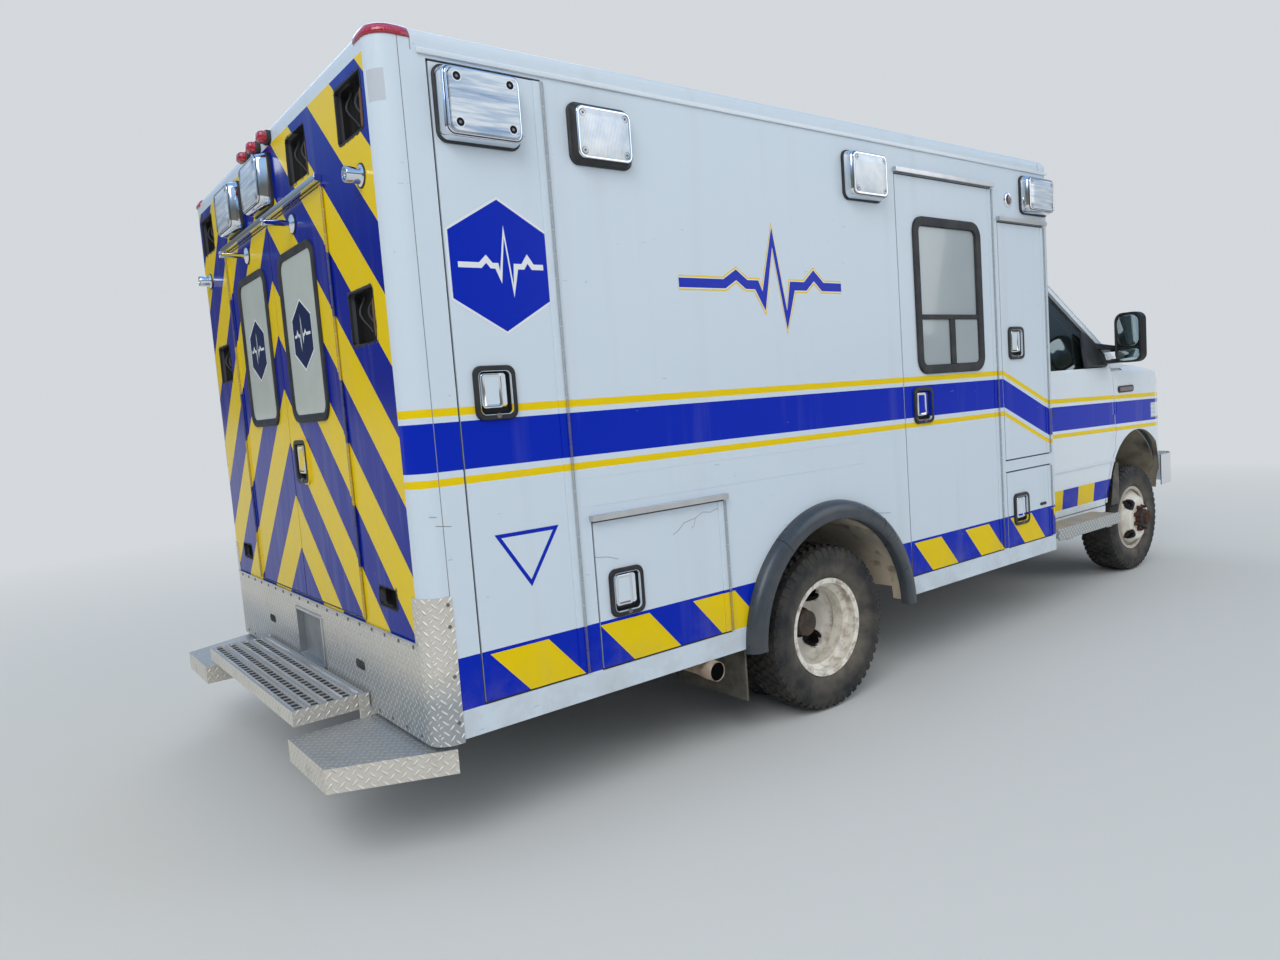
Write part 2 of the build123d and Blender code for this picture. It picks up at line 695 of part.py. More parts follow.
# Chassis frame, with its crossmembers, body pads, and spring hangers
def rail(side):
    """One C-section rail with its pads, spring hangers, spring tower and engine mount."""
    rear_x = wall + 4
    rail_low_z = rail_top_z - rail_depth
    outer = span(side, rail_y - rail_flange, rail_y)
    body = block(rear_x, rail_front_x, *outer, rail_low_z, rail_top_z)
    pocket = span(side, rail_y - rail_flange - 1, rail_y - rail_web)
    body -= block(rear_x - 1, rail_front_x + 1, *pocket, rail_low_z + rail_web, rail_top_z - rail_web)
    for pad_x in body_pads_x:
        body += block(pad_x - 50, pad_x + 50, *outer, rail_top_z, floor_bottom_z)
    for hanger_x in (rear_axle_x - spring_half, rear_axle_x + spring_half):
        hanger = span(side, rail_y, spring_y[1] + 2)
        body += block(hanger_x - 40, hanger_x + 40, *hanger, wheel_z + 96 + seat_gap, rail_top_z - 40)
    tower = span(side, rail_y, house_inner_y + 80)
    body += block(front_axle_x - 80, front_axle_x + 80, *tower, rail_top_z - 40, rail_top_z)
    pad_top = rail_low_z + 20
    saddle = span(side, engine_half - 30, rail_y)
    body += block(front_axle_x - 80, front_axle_x + 80, *saddle, wheel_z + 45 + seat_gap, pad_top)
    mount = span(side, engine_half - 30, engine_half + 5)
    body += block(front_axle_x - 48, front_axle_x + 48, *mount, pad_top - 1, engine_low_z - seat_gap)
    for hole_x in tow_bolts_x:
        body -= rod_y(hole_x, tow_bolts_z, tow_bolt_radius, *span(side, 0, rail_spacing))
    return body


def chassis():
    """Two rails joined by crossmembers."""
    inner = rail_y - rail_web
    members = [rail(-1), rail(1)]
    for cross_x in crossmembers_x:
        members.append(block(cross_x - 40, cross_x + 40, -inner, inner, rail_top_z - 130, rail_top_z - 20))
    return members


parts["chassis_frame"] = chassis()
engine_face = polygon(
    (fore(956), engine_low_z), (fore(956), engine_top_z - 45), (fore(1076), engine_top_z),
    (fore(1716), engine_top_z), (fore(1716), engine_low_z),
)
parts["engine_block"] = sideways(engine_face, -engine_half, engine_half)
shaft = rod_x(0, wheel_z + 49, 42, rear_axle_x + 177 + seat_gap, fore(276))
parts["gearbox_and_shaft"] = shaft + block(fore(276), fore(956) - seat_gap, -150, 150, wheel_z - 1, 632)
tank_top_z = rail_top_z - 130 - seat_gap
tank = block(720, 1350, -200, 350, 320, tank_top_z)
parts["fuel_tank"] = fillet(tank.edges().filter_by(Axis.X), 40)


def exhaust():
    """The pipe from the engine, its silencer, and the outlet behind the right rear wheels."""
    outlet = (rear_axle_x - 753, -half - 29.5, 372)
    route = FilletPolyline(
        (fore(226), -300, 470), (1600, -300, 470), (1400, -360, 372), (1160, -740, 372), outlet, radius=60
    )
    pipe = sweep(Plane(origin=route @ 0, z_dir=route % 0) * Circle(pipe_radius), path=route)
    hangers_x = crossmembers_x[2:4]
    pipe += rod_x(-262, 440, silencer_radius, hangers_x[0] + 100, hangers_x[1] - 100)
    for hanger_x in hangers_x:
        pipe += block(hanger_x - 20, hanger_x + 20, -312, -288, 470, tank_top_z)
    return pipe


parts["exhaust"] = exhaust()


# Cab: its outer form is a side profile met by a front profile, and every panel is cut from it
def screen_line(x, below=0):
    """The height of the windscreen's edge line at x, lowered by below."""
    head_x, head_z = screen_head
    slope = (head_z - cowl_z) / (screen_foot_x - head_x)
    return head_z - slope * (x - head_x) - below


def cab_side_face(inset):
    """The cab from the side, without the hood, moved in by inset at its roof, screen and firewall."""
    head_x, head_z = screen_head
    return polygon(
        (module_length - 1, cab_bottom_z - 1),
        (cab_front_x - inset, cab_bottom_z - 1),
        (cab_front_x - inset, cowl_z - inset),
        (screen_foot_x - 0.35 * inset, cowl_z - inset),
        (head_x - 0.35 * inset, head_z - inset),
        (head_x - 130, cab_roof_z - 12 - inset),
        (module_length - 1, cab_roof_z - inset),
    )


def mirrored(edge):
    """A closed face from its right-hand edge, given as (y, z) from the bottom to the middle."""
    left = [(-y, z) for y, z in reversed(edge) if y]
    return polygon(*edge, *left)


flank = (
    (cab_half_width - 23, cab_bottom_z),
    (cab_half_width, 700),
    (cab_half_width, 1200),
    (cab_half_width - 7, cowl_z - 102),
)


def cab_front_face(inset):
    wide = cab_half_width - inset
    edge = [(y - inset, z) for y, z in flank]
    edge += [(wide - 24, belt_z), (wide - 155, door_head_z - 0.4 * inset), (wide - 238, cab_roof_z - 16 - inset)]
    edge += [(400, cab_roof_z - 2 - inset), (0, cab_roof_z + 1 - inset)]
    return mirrored(edge)


def across(face):
    """A side profile made solid across the whole cab."""
    return sideways(face, -beyond_y, beyond_y)


def cab_form(inset):
    return across(cab_side_face(inset)) & forward(cab_front_face(inset), module_length, fore(2076))


def clip_form(inset):
    """The front end ahead of the doors, from three sides: profile, front and plan."""
    crown = [
        (bonnet_rear_x, cowl_z + 18), (nose_x - 530, cowl_z - 10), (nose_x - 320, cowl_z - 50),
        (nose_x - 140, cowl_z - 114), (nose_x - 42, cowl_z - 194), (nose_x - 4, cowl_z - 312),
    ]
    crown = [(x - 0.6 * inset * (x > nose_x - 190), z - inset) for x, z in crown]
    top = Spline(*crown, tangents=((1, -0.12), (0.12, -1)))
    rear_x = cab_door_front_x - 210
    rest = Polyline(
        crown[-1], (nose_x - inset, cowl_z - 382), (nose_x - inset, cab_bottom_z + 60), (rear_x, cab_bottom_z + 60),
        (rear_x, cowl_z + 26 - inset), crown[0],
    )
    profile = make_face([top, rest])
    wide = cab_half_width - inset
    edge = [(y - inset, z) for y, z in flank]
    edge += [(wide - 18, cowl_z - 62 - 0.3 * inset), (wide - 58 + 0.4 * inset, cowl_z - 18 - inset)]
    edge += [(bonnet_half, cowl_z - inset), (400, cowl_z + 22 - inset), (0, cowl_z + 28 - inset)]
    side_x = nose_x - 250
    corner = [(side_x, -wide), (nose_x - 110 - 0.3 * inset, 40 - wide), (nose_x - 40 - 0.8 * inset, 158 - wide)]
    corner += [(nose_x - 14 - inset, 408 - cab_half_width), (nose_x - inset, 708 - cab_half_width)]
    bend = [(x, -y) for x, y in reversed(corner)]
    wings = [(side_x - 10, beyond_y), (rear_x, beyond_y), (rear_x, -beyond_y), (side_x - 10, -beyond_y)]
    plan = polygon(*corner, *bend, *wings)
    return across(profile) & forward(mirrored(edge), rear_x, nose_x + 110) & upward(plan, 400, cowl_z + 138)


def arch_disc(radius):
    """The front wheel arch's outline in the side view, open below."""
    return Pos(arch_x, arch_z) * Circle(radius)


def door_face(inset):
    """A cab door's outline, its front corner cut back round the wheel arch."""
    front_x = cab_door_front_x - inset
    fall = 12 + inset
    face = polygon(
        (cab_door_rear_x + inset, door_bottom_z + inset),
        (front_x, door_bottom_z + inset),
        (front_x, screen_line(front_x, fall)),
        (screen_head[0] + 12, screen_line(screen_head[0] + 12, fall + 4)),
        (cab_door_rear_x + inset, door_head_z - inset),
    )
    return face - arch_disc(arch_radius + door_lip + inset)


window_front_x = cab_door_front_x - 60
window_drop = 12 + window_frame
window_face = polygon(
    (cab_door_rear_x + 65, belt_z),
    (window_front_x, belt_z),
    (window_front_x, screen_line(window_front_x, window_drop)),
    (screen_head[0] - 10, screen_line(screen_head[0], window_drop)),
    (cab_door_rear_x + 65, door_head_z - 40),
)
screen_low_z = cowl_z + 52
screen_top_z = cab_roof_z - 124
screen_edge = [(cab_half_width - 178, screen_low_z), (cab_half_width - 273, screen_top_z), (0, screen_top_z)]
screen_face = mirrored(screen_edge)
skin_face = cab_front_face(0) - cab_front_face(cab_wall)
side_skin = across(cab_side_face(0)) & forward(skin_face, module_length, nose_x)


def cab_body():
    """Roof, pillars, sills, firewall and floor, with the engine tunnel."""
    shell = cab_form(0) - cab_form(cab_wall)
    inner_front = cab_front_x - cab_wall
    floor_half = cab_half_width - 78
    floor_top = cab_floor_z + cab_floor_thickness
    floor = block(module_length, inner_front, -floor_half, floor_half, cab_floor_z, floor_top)
    knee_x = tunnel_rear_x + 130
    knee_top = tunnel_knee_z + 100
    tunnel_face = polygon(
        (tunnel_rear_x, cab_floor_z), (tunnel_rear_x, tunnel_knee_z), (knee_x, knee_top),
        (inner_front, tunnel_top_z), (inner_front, cab_floor_z),
    )
    room_face = polygon(
        (tunnel_rear_x + liner, 400),
        (tunnel_rear_x + liner, tunnel_knee_z - 4),
        (knee_x + 4, knee_top - liner),
        (fore(1576), tunnel_top_z - liner), (fore(1576), 400),
    )
    shell += floor + sideways(tunnel_face, -tunnel_half, tunnel_half)
    above_belt = polygon((fore(76), belt_z - 10), (fore(1476), belt_z - 10), (fore(1476), 2200), (fore(76), 2200))
    for name, side in sides:
        shell -= sideways(door_face(0), *span(side, cab_half_width - 68, beyond_y))
        shell -= sideways(door_face(0) & above_belt, *span(side, door_inner_y, beyond_y))
        shell -= sideways(arch_disc(house_radius + 9), *span(side, house_inner_y - 1, beyond_y))
    shell -= sideways(room_face, -tunnel_half + liner, tunnel_half - liner)
    shell -= forward(screen_face, fore(576), fore(1346))
    outer_skin = cab_front_face(-5) - cab_front_face(fender_skin + firewall_gap)
    skin_room = forward(outer_skin, cab_door_front_x, cab_front_x + 1)
    skin_room_behind = forward(outer_skin, cab_door_front_x - 300, cab_front_x + 1)
    shell -= skin_room & block(cab_door_front_x, cab_front_x + 1, -beyond_y, beyond_y, 400, belt_z - 10)
    shell -= skin_room_behind & across(arch_disc(arch_radius + door_lip + 0.2))
    shell -= block(inner_front - 1, cab_front_x + 1, -floor_half, floor_half, 400, cab_floor_z)
    return shell


def cab_door(side):
    """One cab door, cut from the side skin, with hinges at its front and the mirror on two arms."""
    door = side_skin & sideways(door_face(door_gap), *span(side, door_inner_y, beyond_y))
    door -= sideways(window_face, *span(side, door_inner_y, beyond_y))
    hinge_y = side * (cab_half_width + hinge_clear + hinge_radius)
    strap_x = cab_door_front_x - door_gap - hinge_strap
    strap = span(side, cab_half_width - 2, cab_half_width + strap_sheet)
    for z in (1010, 1160):
        door += rod_z(cab_door_front_x, hinge_y, hinge_radius, z - 40, z + 40)
        door += block(strap_x, cab_door_front_x - 1, *strap, z - 40, z + 40)
    arm_x = cab_door_front_x - 52
    for arm_z in (belt_z + 30, belt_z + 100):
        arm_y = span(side, cab_half_width - 78, cab_half_width + 112)
        door += block(arm_x, arm_x + 24, *arm_y, arm_z, arm_z + 22)
    outline = rounded(*span(side, cab_half_width + 58, cab_half_width + 224), belt_z + 22, belt_z + 346, 50)
    head = forward(outline, arm_x - 54, arm_x + 50)
    return door + fillet(head.faces().sort_by(Axis.X)[-1].edges(), 40)


def bonnet():
    """The engine hood, from the cowl to the grille, on two hinge pins."""
    front_x = nose_x - 30
    room = block(bonnet_rear_x + 14, front_x, -bonnet_half, bonnet_half, grille_z[1] + 40, 1600)
    panel = (clip_form(0) - clip_form(bonnet_skin)) & room
    pin_x = bonnet_rear_x + hood_pin_radius + hinge_clear
    for name, side in sides:
        ears = span(side, 200, 300)
        panel += rod_y(pin_x, hood_pin_z, hood_pin_radius, *ears)
        ear_z = (hood_pin_z - hood_pin_radius, hood_pin_z + hood_pin_radius)
        panel += block(pin_x, bonnet_rear_x + 16, *ears, *ear_z)
    return panel


def front_end():
    """The fenders with their wheel houses, the cowl strip and the panel round the grille."""
    skin = clip_form(0) - clip_form(fender_skin)
    ahead = polygon((cab_front_x + 0.5, 400), (beyond_x, 400), (beyond_x, 1600), (cab_front_x + 0.5, 1600))
    flap_top = belt_z - 10 - firewall_gap
    flap = polygon((cab_door_front_x, 400), (beyond_x, 400), (beyond_x, flap_top), (cab_door_front_x, flap_top))
    flap += arch_disc(arch_radius + door_lip - 0.1)
    flank_y = cab_half_width - fender_skin - seat_gap
    flanks = skin & (sideways(flap, -beyond_y, -flank_y) + sideways(flap, flank_y, beyond_y))
    skin = (skin & across(ahead)) + flanks
    hood_front = nose_x - 30 + bonnet_gap
    hood_low = grille_z[1] + 40 - bonnet_gap
    hood_half = bonnet_half + bonnet_gap
    skin -= block(bonnet_rear_x, hood_front, -hood_half, hood_half, hood_low, 1600)
    skin -= block(cab_front_x, bonnet_rear_x + 1, -hood_half, hood_half, cowl_z + 18 - cowl_drop, 1600)
    lamp_room = (lamp_z[0] - seat_gap, lamp_z[1] + seat_gap)
    for name, side in sides:
        skin -= sideways(arch_disc(arch_radius), *span(side, bonnet_half, beyond_y))
        skin -= block(lamp_rear_x - seat_gap, beyond_x, *span(side, lamp_y[0] - seat_gap, beyond_y), *lamp_room)
    opening = grille_half + seat_gap
    skin -= block(nose_x - 45, beyond_x, -opening, opening, grille_z[0] - seat_gap, grille_z[1] + seat_gap)
    for name, side in sides:
        ring = rod_y(arch_x, arch_z, house_radius + liner, *span(side, house_inner_y, cab_half_width - 72))
        ring -= rod_y(arch_x, arch_z, house_radius, *span(side, house_inner_y + liner, cab_half_width - 8))
        ring &= block(fore(976), fore(2006), -beyond_y, beyond_y, arch_z, 1200)
        tower_y = span(side, house_inner_y - 20, house_inner_y + 20)
        ring -= block(front_axle_x - 110, front_axle_x + 110, *tower_y, 400, rail_top_z + 10)
        skin += ring
        skin -= block(rail_front_x, beyond_x, *span(side, rail_y - 58, rail_y + 4), 400, rail_top_z + 4)
    return skin


def grille():
    """A frame with upright and level bars."""
    low_z, high_z = grille_z
    front_x = nose_x + 4
    frame = block(front_x - 38, front_x, -grille_half, grille_half, low_z, high_z)
    columns = 6
    rows = 3
    border = 15
    bar = 10
    width = (2 * grille_half - 2 * border) / columns
    height = (high_z - low_z - 2 * border) / rows
    for column in range(columns):
        for level in range(rows):
            y0 = -grille_half + border + column * width + bar / 2
            z0 = low_z + border + level * height + bar / 2
            frame -= block(front_x - 60, front_x + 10, y0, y0 + width - bar, z0, z0 + height - bar)
    return frame


def bumper():
    """The bright front bumper, bent round its ends, on two brackets."""
    depth = 20
    front_x, wide = bumper_front_x, cab_half_width
    outer = [(front_x - 345, wide + 8), (front_x - 160, wide)]
    outer += [(front_x - 50, wide - 58), (front_x - 8, wide - 208)]
    inner = [(front_x - 345, wide + 2), (front_x - 165, wide - 8)]
    inner += [(front_x - 67, wide - 64), (front_x - 27, wide - 218)]
    outer.append((front_x, wide - 508))
    inner.append((front_x - depth, wide - 508))
    loop = outer + [(x, -y) for x, y in reversed(outer)] + [(x, -y) for x, y in inner] + inner[::-1]
    bar = upward(polygon(*loop), *bumper_z)
    for name, side in sides:
        bracket = span(side, rail_y - 52, rail_y - 7)
        bar += block(rail_front_x + seat_gap, front_x - depth, *bracket, rail_top_z - 60, rail_top_z - 4)
    return bar


def seats():
    found = []
    for name, side in sides:
        y0, y1 = span(side, 400, cab_half_width - 172)
        floor_z = cab_floor_z + cab_floor_thickness
        base = block(fore(406), fore(836), *span(side, 440, cab_half_width - 158), floor_z, 930)
        cushion = block(fore(386), fore(906), y0, y1, 930, 1060)
        back_top = cab_roof_z - 446
        rest_top = cab_roof_z - 256
        back_face = polygon((fore(376), 1060), (fore(496), 1060), (fore(406), back_top), (fore(306), back_top))
        rest_face = polygon(
            (fore(312), back_top), (fore(386), back_top), (fore(366), rest_top), (fore(296), rest_top)
        )
        back = sideways(back_face, y0, y1)
        rest = sideways(rest_face, *span(side, 520, cab_half_width - 238))
        found.append(base + cushion + back + rest)
    return found


def dashboard():
    """The dash with the steering column and wheel on the left."""
    rear_x = cab_front_x - cab_wall - seat_gap
    panel = sideways(
        polygon(
            (rear_x, cowl_z - 282), (fore(1186), cowl_z - 282), (fore(1071), cowl_z - 222),
            (fore(1061), cowl_z - 142), (fore(1116), cowl_z - 90), (rear_x, cowl_z - 78),
        ),
        93 - cab_half_width,
        cab_half_width - 93,
    )
    wheel_place = Pos(fore(934), 450, cowl_z - 170) * Rot(0, -62, 0)
    column = Pos(fore(1066), 450, cowl_z - 240) * Rot(0, -62, 0) * Cylinder(28, 300)
    wheel = wheel_place * Torus(188, 13) + wheel_place * Cylinder(52, 40)
    wheel += wheel_place * (Box(40, 370, 12) + Box(370, 40, 12))
    return panel + column + wheel


def running_boards():
    boards = []
    for name, side in sides:
        inner_y = cab_half_width + 4
        outer_y = half - 16.5
        board = block(fore(16), fore(789), *span(side, inner_y, outer_y), 470, 507)
        board -= block(fore(22), fore(783), *span(side, inner_y - 4, outer_y - 6), 460, 502)
        for bracket_x in (fore(126), fore(636)):
            board += block(bracket_x, bracket_x + 60, *span(side, rail_y + seat_gap, outer_y - 4), 436, 464)
            board += block(bracket_x, bracket_x + 60, *span(side, inner_y + 4, outer_y - 10), 464, 503)
        boards.append(board)
    return boards


parts["cab_body"] = cab_body()
glass_layer = cab_form(20) - cab_form(26)
for name, side in sides:
    parts["cab_door_" + name] = cab_door(side)
    parts["cab_window_" + name] = glass_layer & sideways(window_face, *span(side, door_inner_y, beyond_y))
parts["windscreen"] = glass_layer & forward(screen_face, screen_head[0] - 20, screen_foot_x)
parts["bonnet"] = bonnet()
parts["front_end"] = front_end()
lamp_form = clip_form(0) - clip_form(60)
headlamps = []
for name, side in sides:
    headlamps.append(lamp_form & block(lamp_rear_x, beyond_x, *span(side, *lamp_y), *lamp_z))
parts["headlamps"] = headlamps
parts["grille"] = grille()
parts["front_bumper"] = bumper()
parts["seats"] = seats()
parts["dashboard"] = dashboard()
parts["running_boards"] = running_boards()

os.makedirs("parts", exist_ok=True)
for name, shape in parts.items():
    solids = shape if isinstance(shape, list) else [shape]
    moved = [Pos(-mid_x, 0, 0) * solid for solid in solids]
    export_step(moved[0] if len(moved) == 1 else Compound(moved), "parts/" + name + ".step")
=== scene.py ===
import math
import random

import bpy
from mathutils import Matrix, Vector


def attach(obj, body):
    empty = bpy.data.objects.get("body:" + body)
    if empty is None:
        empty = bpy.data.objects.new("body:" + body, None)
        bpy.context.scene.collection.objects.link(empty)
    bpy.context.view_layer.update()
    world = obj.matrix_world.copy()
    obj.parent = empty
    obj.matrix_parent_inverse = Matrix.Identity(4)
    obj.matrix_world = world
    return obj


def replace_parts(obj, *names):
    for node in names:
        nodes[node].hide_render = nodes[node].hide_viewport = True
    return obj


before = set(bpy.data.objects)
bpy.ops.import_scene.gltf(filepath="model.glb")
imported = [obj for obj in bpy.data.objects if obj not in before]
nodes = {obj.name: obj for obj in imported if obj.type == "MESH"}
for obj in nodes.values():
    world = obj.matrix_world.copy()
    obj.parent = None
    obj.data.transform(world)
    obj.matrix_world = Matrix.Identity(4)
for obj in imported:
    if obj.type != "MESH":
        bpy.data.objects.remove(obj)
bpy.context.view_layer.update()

# Millimetres: x from the module's rear face forward, y to the left, z up from the ground.
MID_X = 2922.5
LENGTH = 3924
HALF = 1206.5
ROOF_SEAM_Z = 2534
ROOF_TOP_Z = 2612
POST_SEAM = 84
REAR_AXLE_X = 1903
FRONT_AXLE_X = 5408
REAR_ARCH_Z = 385
FRONT_ARCH_X, FRONT_ARCH_Z = 5448, 545
HEADLAMP_Y, HEADLAMP_Z = 690, 1114
WHEEL_Z = 371
CAB_HALF = 1008
DOOR_LAMP_X, DOOR_LAMP_Z = 330, 2390
BAND_FOOT_Z, BAND_TOP_Z = 502, 672
BAND_PITCH, BAND_YELLOW = 437, 222
CHEVRON_SLOPE, CHEVRON_PERIOD, CHEVRON_FOOT = 0.955, 438, 1380
CHEVRON_HALF_WIDTH, REAR_COVER_Z = 1137, 726
KINK_START, KINK_END = 3365, 3830
FRONT_POST_X, SIDE_END_X = 3840, 3905
LAMP_ROW_Z = 2410
CAB_NOSE_X, CAB_DOOR_END_X, CAB_BELT_Z, CAB_SILL_Z = 5935, 5112, 1430, 690
RIGHT, LEFT = -1, 1
SIDES = ((RIGHT, "right"), (LEFT, "left"))
DIAGONAL = 0.7071

# Empty lamp holes in the module's rear: y, z, width and height.
REAR_HOLES = (
    (-993, LAMP_ROW_Z, 220, 170), (-450, LAMP_ROW_Z, 220, 170), (993, LAMP_ROW_Z, 220, 170),
    (-932, 1776, 215, 172), (932, 1776, 215, 172), (-910, 848, 150, 67), (910, 848, 150, 67),
)

# The module's white is darker and bluer than the cab's: painted skylight shade.
SKY_SHADED_WHITE = (0.67, 0.745, 0.82)
CAB_WHITE = (0.77, 0.82, 0.87)
BLUE = (0.0004, 0.021, 0.46)
YELLOW = (0.88, 0.62, 0.003)
RED = (0.52, 0.003, 0.018)
BLACK = (0.012, 0.013, 0.015)
DIRT = (0.30, 0.25, 0.19)
RUST = (0.17, 0.055, 0.02)
BACKDROP = (0.66, 0.69, 0.72)


def mm(x, y, z):
    """A point in the row frame, in metres."""
    return Vector(((x - MID_X) / 1000, y / 1000, z / 1000))


def shade(color, share):
    """A darker colour of the same hue."""
    return tuple(share * c for c in color)


# Materials, built from masks that are worked out from each point's place on the vehicle
def feed(tree, target, value):
    """Gives a node's input a value, or links it to a field or an output."""
    source = value.socket if isinstance(value, Field) else value
    if isinstance(source, bpy.types.NodeSocket):
        tree.links.new(source, target)
    else:
        target.default_value = source


def add_node(tree, kind, inputs=None, **settings):
    node = tree.nodes.new("ShaderNode" + kind)
    for key, value in settings.items():
        setattr(node, key, value)
    for key, value in (inputs or {}).items():
        feed(tree, node.inputs[key], value)
    return node


class Field:
    """A number or a colour that varies over a surface."""

    def __init__(self, tree, socket):
        self.tree = tree
        self.socket = socket

    def op(self, operation, *others, clamp=False):
        inputs = dict(enumerate((self, *others)))
        node = add_node(self.tree, "Math", inputs, operation=operation, use_clamp=clamp)
        return Field(self.tree, node.outputs[0])

    def __add__(self, other):
        return self.op("ADD", other)

    def __sub__(self, other):
        return self.op("SUBTRACT", other)

    def __mul__(self, other):
        return self.op("MULTIPLY", other)

    def over(self, limit):
        return self.op("GREATER_THAN", limit)

    def under(self, limit):
        return self.op("LESS_THAN", limit)

    def within(self, low, high):
        return self.over(low) * self.under(high)

    def size(self):
        return self.op("ABSOLUTE")

    def inverse(self):
        return self.op("MULTIPLY_ADD", -1.0, 1.0)

    def ramp(self, start, end):
        """0 at start and 1 at end, level beyond them."""
        scale = 1 / (end - start)
        return self.op("MULTIPLY_ADD", scale, -start * scale, clamp=True)

    def either(self, other):
        return self.op("MAXIMUM", other)

    def wrapped(self, period):
        return self.op("FLOORED_MODULO", period)

    def wave(self, period):
        return (self * (2 * math.pi / period)).op("SINE")


class Look:
    """A material under construction: its shader, and the colour, roughness and relief so far."""

    def __init__(self, name, color, roughness, metallic=0.0, coat=0.0, transmission=0.0, specular=0.5):
        self.material = bpy.data.materials.new(name)
        self.material.use_nodes = True
        self.tree = self.material.node_tree
        self.shader = self.tree.nodes["Principled BSDF"]
        for key, value in (
            ("Metallic", metallic), ("Specular IOR Level", specular), ("Coat Weight", coat),
            ("Coat Roughness", 0.04), ("Transmission Weight", transmission), ("IOR", 1.45),
        ):
            self.shader.inputs[key].default_value = value
        self.color = (*color, 1.0)
        self.roughness = roughness
        self.height = None
        self.places = None

    def axes(self, socket):
        """The three parts of a vector."""
        split = add_node(self.tree, "SeparateXYZ", {0: socket})
        return tuple(Field(self.tree, split.outputs[i]) for i in range(3))

    def place(self):
        """x, y and z in this script's millimetres."""
        if self.places is None:
            x, y, z = self.axes(add_node(self.tree, "TexCoord").outputs["Object"])
            self.places = (x.op("MULTIPLY_ADD", 1000.0, MID_X), y * 1000.0, z * 1000.0)
        return self.places

    def normal(self):
        """The direction the surface faces, in the moving body's own frame."""
        geometry = add_node(self.tree, "NewGeometry")
        convert = add_node(
            self.tree, "VectorTransform", {0: geometry.outputs["Normal"]},
            vector_type="NORMAL", convert_from="WORLD", convert_to="OBJECT",
        )
        return self.axes(convert.outputs[0])

    def noise(self, scale, detail=4.0, roughness=0.55, stretch=(1, 1, 1), offset=0.0):
        """Cloudy noise from 0 to 1. scale is in cycles for each metre."""
        coord = add_node(self.tree, "TexCoord").outputs["Object"]
        shift = (offset, offset * 0.7, offset * 1.3)
        mapping = add_node(self.tree, "Mapping", {0: coord, "Scale": stretch, "Location": shift})
        texture = add_node(self.tree, "TexNoise", {
            "Vector": mapping.outputs[0], "Scale": scale, "Detail": detail, "Roughness": roughness,
        })
        return Field(self.tree, texture.outputs["Fac"])

    def mixed(self, kind, mask, before, after):
        node = add_node(self.tree, "Mix", {"Factor": mask, "A": before, "B": after}, data_type=kind)
        return Field(self.tree, node.outputs["Result"])

    def paint(self, mask, color, roughness=None):
        """Colour, and roughness if given, where mask is 1."""
        self.color = self.mixed("RGBA", mask, self.color, (*color, 1.0))
        if roughness is not None:
            self.roughness = self.mixed("FLOAT", mask, self.roughness, roughness)

    def relief(self, height, depth_mm):
        """Raises the surface by height, where 1 is depth_mm."""
        step = height * (depth_mm / 1000)
        self.height = step if self.height is None else self.height + step

    def metal_where(self, mask):
        feed(self.tree, self.shader.inputs["Metallic"], mask)

    def done(self):
        feed(self.tree, self.shader.inputs["Base Color"], self.color)
        feed(self.tree, self.shader.inputs["Roughness"], self.roughness)
        if self.height is not None:
            bump = add_node(self.tree, "Bump", {"Distance": 1.0, "Strength": 1.0, "Height": self.height})
            feed(self.tree, self.shader.inputs["Normal"], bump.outputs["Normal"])
        return self.material


def distance(u, v):
    return (u * u + v * v).op("SQRT")


def box_mask(u, v, middle, width, height, grow):
    """1 inside a rectangle that grow widens on every side."""
    return (u - middle[0]).size().under(width / 2 + grow) * (v - middle[1]).size().under(height / 2 + grow)


def soil(look, z, low, high, strength):
    """Road dirt that thins out with height, and faint streaks."""
    cloud = look.noise(7.0, 6.0, 0.65).ramp(0.42, 0.72)
    look.paint(cloud * z.ramp(high, low) * strength, DIRT, 0.6)
    streaks = look.noise(9.0, 3.0, 0.5, stretch=(1, 1, 0.06)).ramp(0.55, 0.78)
    look.paint(streaks * 0.10, (0.42, 0.40, 0.36))


def side_bands(look, mask, z, slant, rows):
    """Level bands that fall with slant: each row is the band's foot and top, its fall and its colour."""
    for low, high, fall, color in rows:
        look.paint(mask * (z + slant * fall).within(low, high), color)


def module_stripes(look, x, y, z):
    """The stripes round the module: chevrons at the rear, bands along the sides."""
    rear = x.under(3.0) * y.size().under(CHEVRON_HALF_WIDTH) * z.within(REAR_COVER_Z, ROOF_SEAM_Z)
    corner = x.within(POST_SEAM, FRONT_POST_X).inverse() * y.size().over(1100)
    side = rear.inverse() * x.under(SIDE_END_X) * y.size().over(HALF - 2).either(corner)
    side_bands(look, side, z, x.ramp(KINK_START, KINK_END), (
        (1436, 1461, 183, YELLOW), (1265, 1417, 187, BLUE), (1219, 1243, 189, YELLOW),
    ))
    band = side * z.within(BAND_FOOT_Z, BAND_TOP_Z) * x.over(POST_SEAM + 1)
    look.paint(band, BLUE)
    lean = x + (z * 0.9 - BAND_TOP_Z * 0.9)
    behind = (lean - 195).wrapped(BAND_PITCH).under(BAND_YELLOW) * x.over(192) * x.under(1700)
    ahead = (lean - 2498).wrapped(BAND_PITCH).under(BAND_YELLOW) * x.over(2200)
    look.paint(band * z.under(BAND_TOP_Z - 12) * behind.either(ahead), YELLOW)
    level = z + (y - 10).size() * CHEVRON_SLOPE - CHEVRON_FOOT
    # Painted shade: the rear's blue is a darker copy of the side blue.
    look.paint(rear, shade(BLUE, 0.62), 0.16)
    look.paint(rear * level.wrapped(CHEVRON_PERIOD).under(CHEVRON_PERIOD / 2), YELLOW, 0.2)


